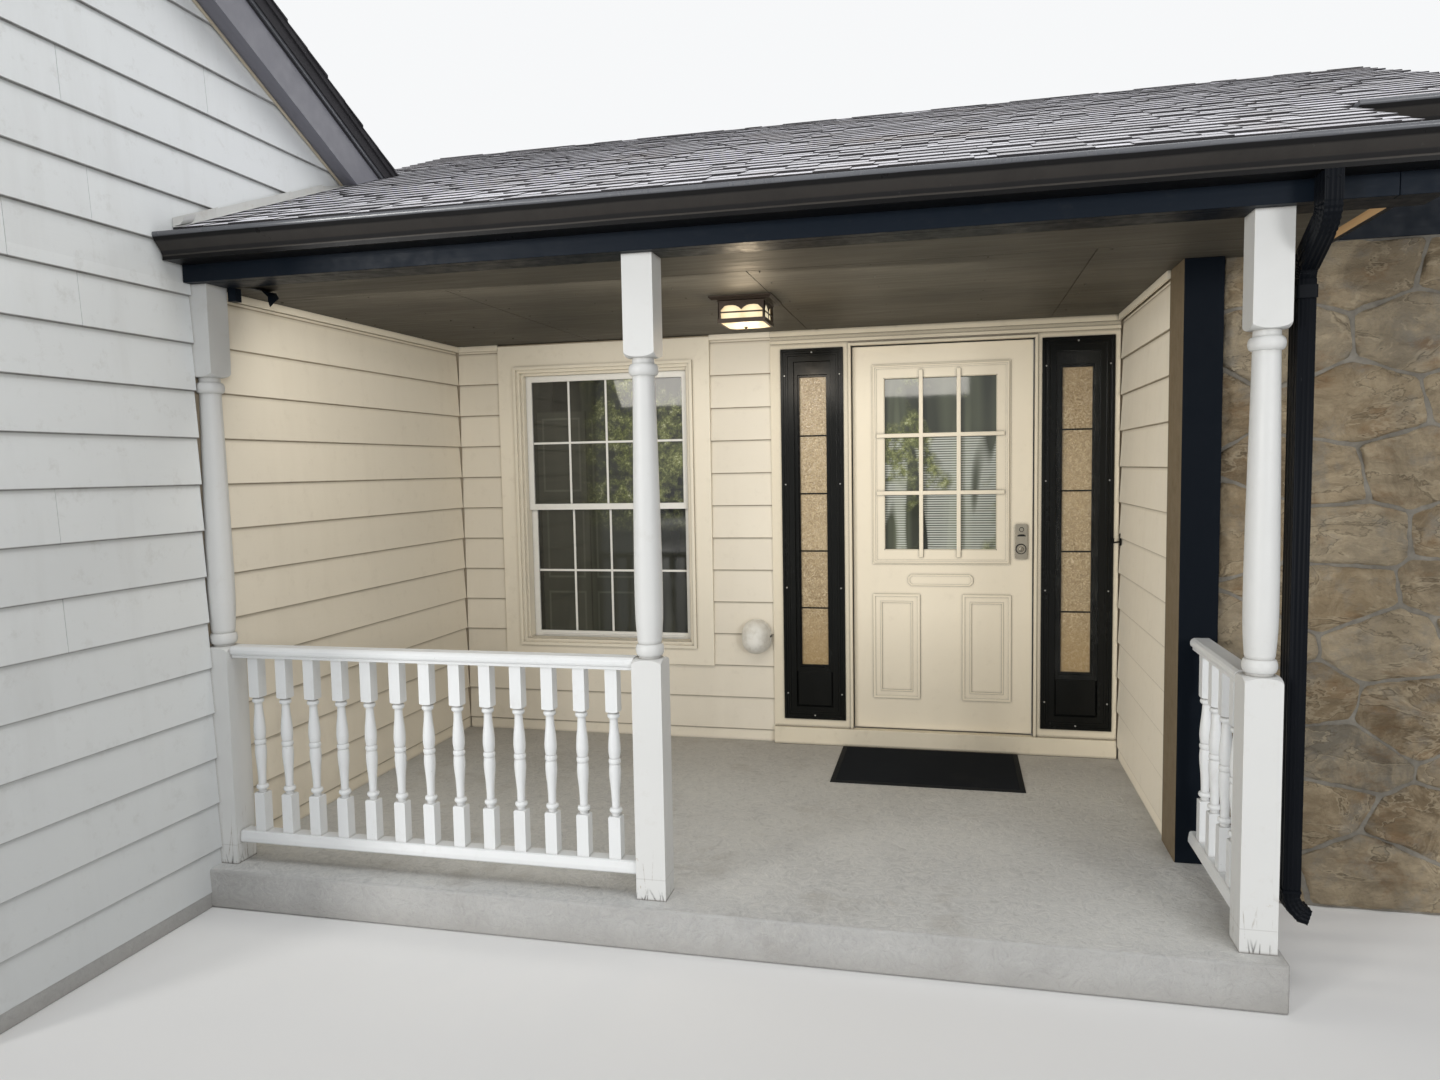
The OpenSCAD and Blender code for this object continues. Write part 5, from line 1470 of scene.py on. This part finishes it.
# Faucet cover: rim and hooks
cover_low, cover_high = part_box("faucet_cover")
cx, cz = (cover_low.x + cover_high.x) / 2, (cover_low.z + cover_high.z) / 2
hook = Shape()
for a in (math.radians(205), math.radians(2)):
    x, z = cx + 0.080 * math.cos(a), cz + 0.080 * math.sin(a)
    hook.rod((x, BACK_Y - 0.002, z), (x, BACK_Y - 0.026, z), 0.0045, 12)
    hook.rod((x, BACK_Y - 0.022, z), (x - 0.020 * math.cos(a), BACK_Y - 0.030, z - 0.018), 0.0032, 12)
hook.make("cover_hook", "black_paint")
# The rim is a circle cut in two, its halves this far up and down
RIM_HALF = 0.015
rim = Shape()
rings = []
for radius, y in ((0.079, BACK_Y), (0.0805, BACK_Y - 0.004), (0.0805, BACK_Y - 0.012),
        (0.079, BACK_Y - 0.016), (0.0765, BACK_Y - 0.016), (0.0765, BACK_Y)):
    rings.append([(cx + radius * c, y, cz + (RIM_HALF if s > 0 else -RIM_HALF) + radius * s)
        for c, s in circle(64)])
rings.append(rings[0])
rim.loft(rings, caps=False)
rim.make("cover_rim", "foam_white")

# Ceiling: nail heads, and a torn flap by the left post
NAIL_STEP, NAIL_ROWS = 0.406, 8
nails = Shape()
nail_y0, nail_y1 = POST_HALF + 0.33, BACK_Y - 0.03
for x in [LEFT_X + 0.06 + NAIL_STEP * i for i in range(10)]:
    for s in range(NAIL_ROWS):
        y = nail_y0 + (nail_y1 - nail_y0) * s / (NAIL_ROWS - 1)
        if x < RIGHT_X - 0.03:
            nails.rod((x + rng.uniform(-0.006, 0.006), y, CEIL_Z + 0.0002),
                (x + rng.uniform(-0.006, 0.006), y, CEIL_Z - 0.0008), 0.0036, 8)
nails.make("ceiling_nails", "ceiling_paint")
flap = Shape()
# The flap's curl: along, height, width
curl = [(0.0, 0.0, 0.085), (0.050, -0.004, 0.100), (0.090, -0.016, 0.090), (0.112, -0.040, 0.062),
    (0.120, -0.062, 0.034), (0.118, -0.078, 0.010)]
rings = []
for i, (dx, dz, width) in enumerate(curl):
    y0 = POST_HALF + 0.006 + 0.010 * (i % 2)
    x = LEFT_X + 0.125 + dx
    rings.append([(x, y0, CEIL_Z + dz - 0.0004), (x, y0 + width, CEIL_Z + dz * 0.9 - 0.0004),
        (x - 0.002, y0 + width, CEIL_Z + dz * 0.9 + 0.0026 * (i > 0)),
        (x - 0.002, y0, CEIL_Z + dz + 0.0026 * (i > 0))])
flap.loft(rings)
flap.box((LEFT_X + 0.070, POST_HALF + 0.0005, CEIL_Z - 0.050), (LEFT_X + 0.104, POST_HALF + 0.034, CEIL_Z))
flap.make("torn_flap", "navy_paint", bevel=0.001)

# Small dark hook on the right wall
peg = Shape()
peg_y, peg_z = 1.94, 1.27
peg.box((RIGHT_X - 0.004, peg_y - 0.010, peg_z - 0.030), (RIGHT_X + 0.006, peg_y + 0.010, peg_z + 0.030))
peg.rod((RIGHT_X - 0.003, peg_y, peg_z - 0.012), (RIGHT_X - 0.030, peg_y, peg_z - 0.016), 0.0042, 12)
peg.rod((RIGHT_X - 0.030, peg_y, peg_z - 0.019), (RIGHT_X - 0.030, peg_y, peg_z + 0.006), 0.0042, 12)
peg.make("wall_hook", "black_paint", bevel=0.001)

# Softer edges on the CAD pieces that stay
for width, nodes in ((0.001, ("door_slab", "door_lock")), (0.0012, ("rails",)),
        (0.0015, ("window_frame", "sashes", "door_frame", "sidelight_frames")), (0.0018, ("door_trim",)),
        (0.002, ("beam", "fascia", "window_casing", "bay_trim", "frieze", "eave_boards", "rake_board")),
        (0.003, ("pilaster", "threshold")), (0.010, ("slab",))):
    for node in nodes:
        soften(NODES[node], width, weld=True)


# Camera at the photograph's place
CAMERA_AT = Vector((0.9777, -3.2227, 1.6576))
FOCAL, SENSOR = 24.398, 36.0
YAW, PITCH, ROLL = (math.radians(a) for a in (13.333, -4.2, -1.015))
ahead = Vector((-math.sin(YAW) * math.cos(PITCH), math.cos(YAW) * math.cos(PITCH), math.sin(PITCH)))
level = Vector((math.cos(YAW), math.sin(YAW), 0))
upright = level.cross(ahead)
right = level * math.cos(ROLL) + upright * math.sin(ROLL)
up = upright * math.cos(ROLL) - level * math.sin(ROLL)
lens = bpy.data.cameras.new("photo_camera")
lens.lens, lens.sensor_width, lens.sensor_fit = FOCAL, SENSOR, "HORIZONTAL"
camera = stand("photo_camera", lens)
camera.matrix_world = Matrix.Translation(CAMERA_AT) @ Matrix((right, up, -ahead)).transposed().to_4x4()
bpy.context.scene.camera = camera


# Floor and light
def pale_floor():
    p = Paint("pale_floor", specular=0.2)
    tone = p.mix(p.noise(0.6, 4), (0.76, 0.76, 0.755), (0.80, 0.80, 0.795))
    p.bump(p.noise(30, 4), 0.05, 0.002)
    return p.finish(tone, p.noise(3, 4), 0.8, 0.9)


ground = bpy.data.meshes.new("floor")
FLOOR_HALF = 40.0
ground.from_pydata([(*p, 0) for p in corners(-FLOOR_HALF, -FLOOR_HALF, FLOOR_HALF, FLOOR_HALF)], [],
    [(0, 1, 2, 3)])
ground.materials.append(pale_floor())
floor = stand("floor", ground)
floor.location.z = -0.001  # a hair low, so that the part's foot stays free of it

world = bpy.data.worlds.new("studio")
bpy.context.scene.world = world
world.use_nodes = True
wn, wl = world.node_tree.nodes, world.node_tree.links
fill = wn["Background"]
fill.inputs["Color"].default_value = (0.95, 0.97, 1.0, 1)
fill.inputs["Strength"].default_value = 0.27
white = wn.new("ShaderNodeBackground")
white.inputs["Color"].default_value = (0.93, 0.94, 0.95, 1)
white.inputs["Strength"].default_value = 1.0
path = wn.new("ShaderNodeLightPath")
seen = path.outputs["Is Camera Ray"]
for ray in ("Is Glossy Ray", "Is Transmission Ray"):
    either = wn.new("ShaderNodeMath")
    either.operation = "MAXIMUM"
    wl.new(seen, either.inputs[0])
    wl.new(path.outputs[ray], either.inputs[1])
    seen = either.outputs[0]
choose = wn.new("ShaderNodeMixShader")
wl.new(seen, choose.inputs["Fac"])
wl.new(fill.outputs[0], choose.inputs[1])
wl.new(white.outputs[0], choose.inputs[2])
wl.new(choose.outputs[0], wn["World Output"].inputs["Surface"])


def soft_lamp(name, place, target, width, power, colour=(1, 1, 1)):
    lamp = bpy.data.lights.new(name, "AREA")
    lamp.shape, lamp.size, lamp.energy, lamp.color = "SQUARE", width, power, colour
    obj = stand(name, lamp)
    obj.location = place
    obj.rotation_euler = (Vector(target) - Vector(place)).to_track_quat("-Z", "Y").to_euler()
    return obj


soft_lamp("key_left", (-8.5, -12.0, 3.2), (0.6, 1.0, 1.2), 3.0, 990, (1.0, 0.985, 0.96))
soft_lamp("key_right", (9.5, -13.0, 3.4), (-0.6, 1.0, 1.4), 3.0, 630)
front_lamp = soft_lamp("front", (-7.0, -24.0, 2.8), (0.0, 1.0, 1.2), 5.0, 900)
front_lamp.visible_glossy = False
soft_lamp("sky", (3.0, -3.0, 11.0), (0, 1.0, 1.5), 6.0, 460)
soft_lamp("rear", (1.0, 9.0, 6.0), (0, 1.0, 1.5), 6.0, 380)
fill_lamp = soft_lamp("porch_fill", (-0.2, 0.25, 2.24), (-0.3, 1.9, 0.9), 1.0, 14, (1.0, 0.96, 0.88))
fill_lamp.data.shape, fill_lamp.data.size, fill_lamp.data.size_y = "RECTANGLE", 2.6, 0.25

glow = bpy.data.lights.new("lamp_bulb", "POINT")
glow.energy, glow.color, glow.shadow_soft_size = 3.0, (1.0, 0.80, 0.55), 0.06
bulb = stand("lamp_bulb", glow)
bulb.location = (LAMP_AT.x, LAMP_AT.y, LAMP_LOW.z - 0.09)

bpy.context.scene.view_settings.view_transform = "Standard"
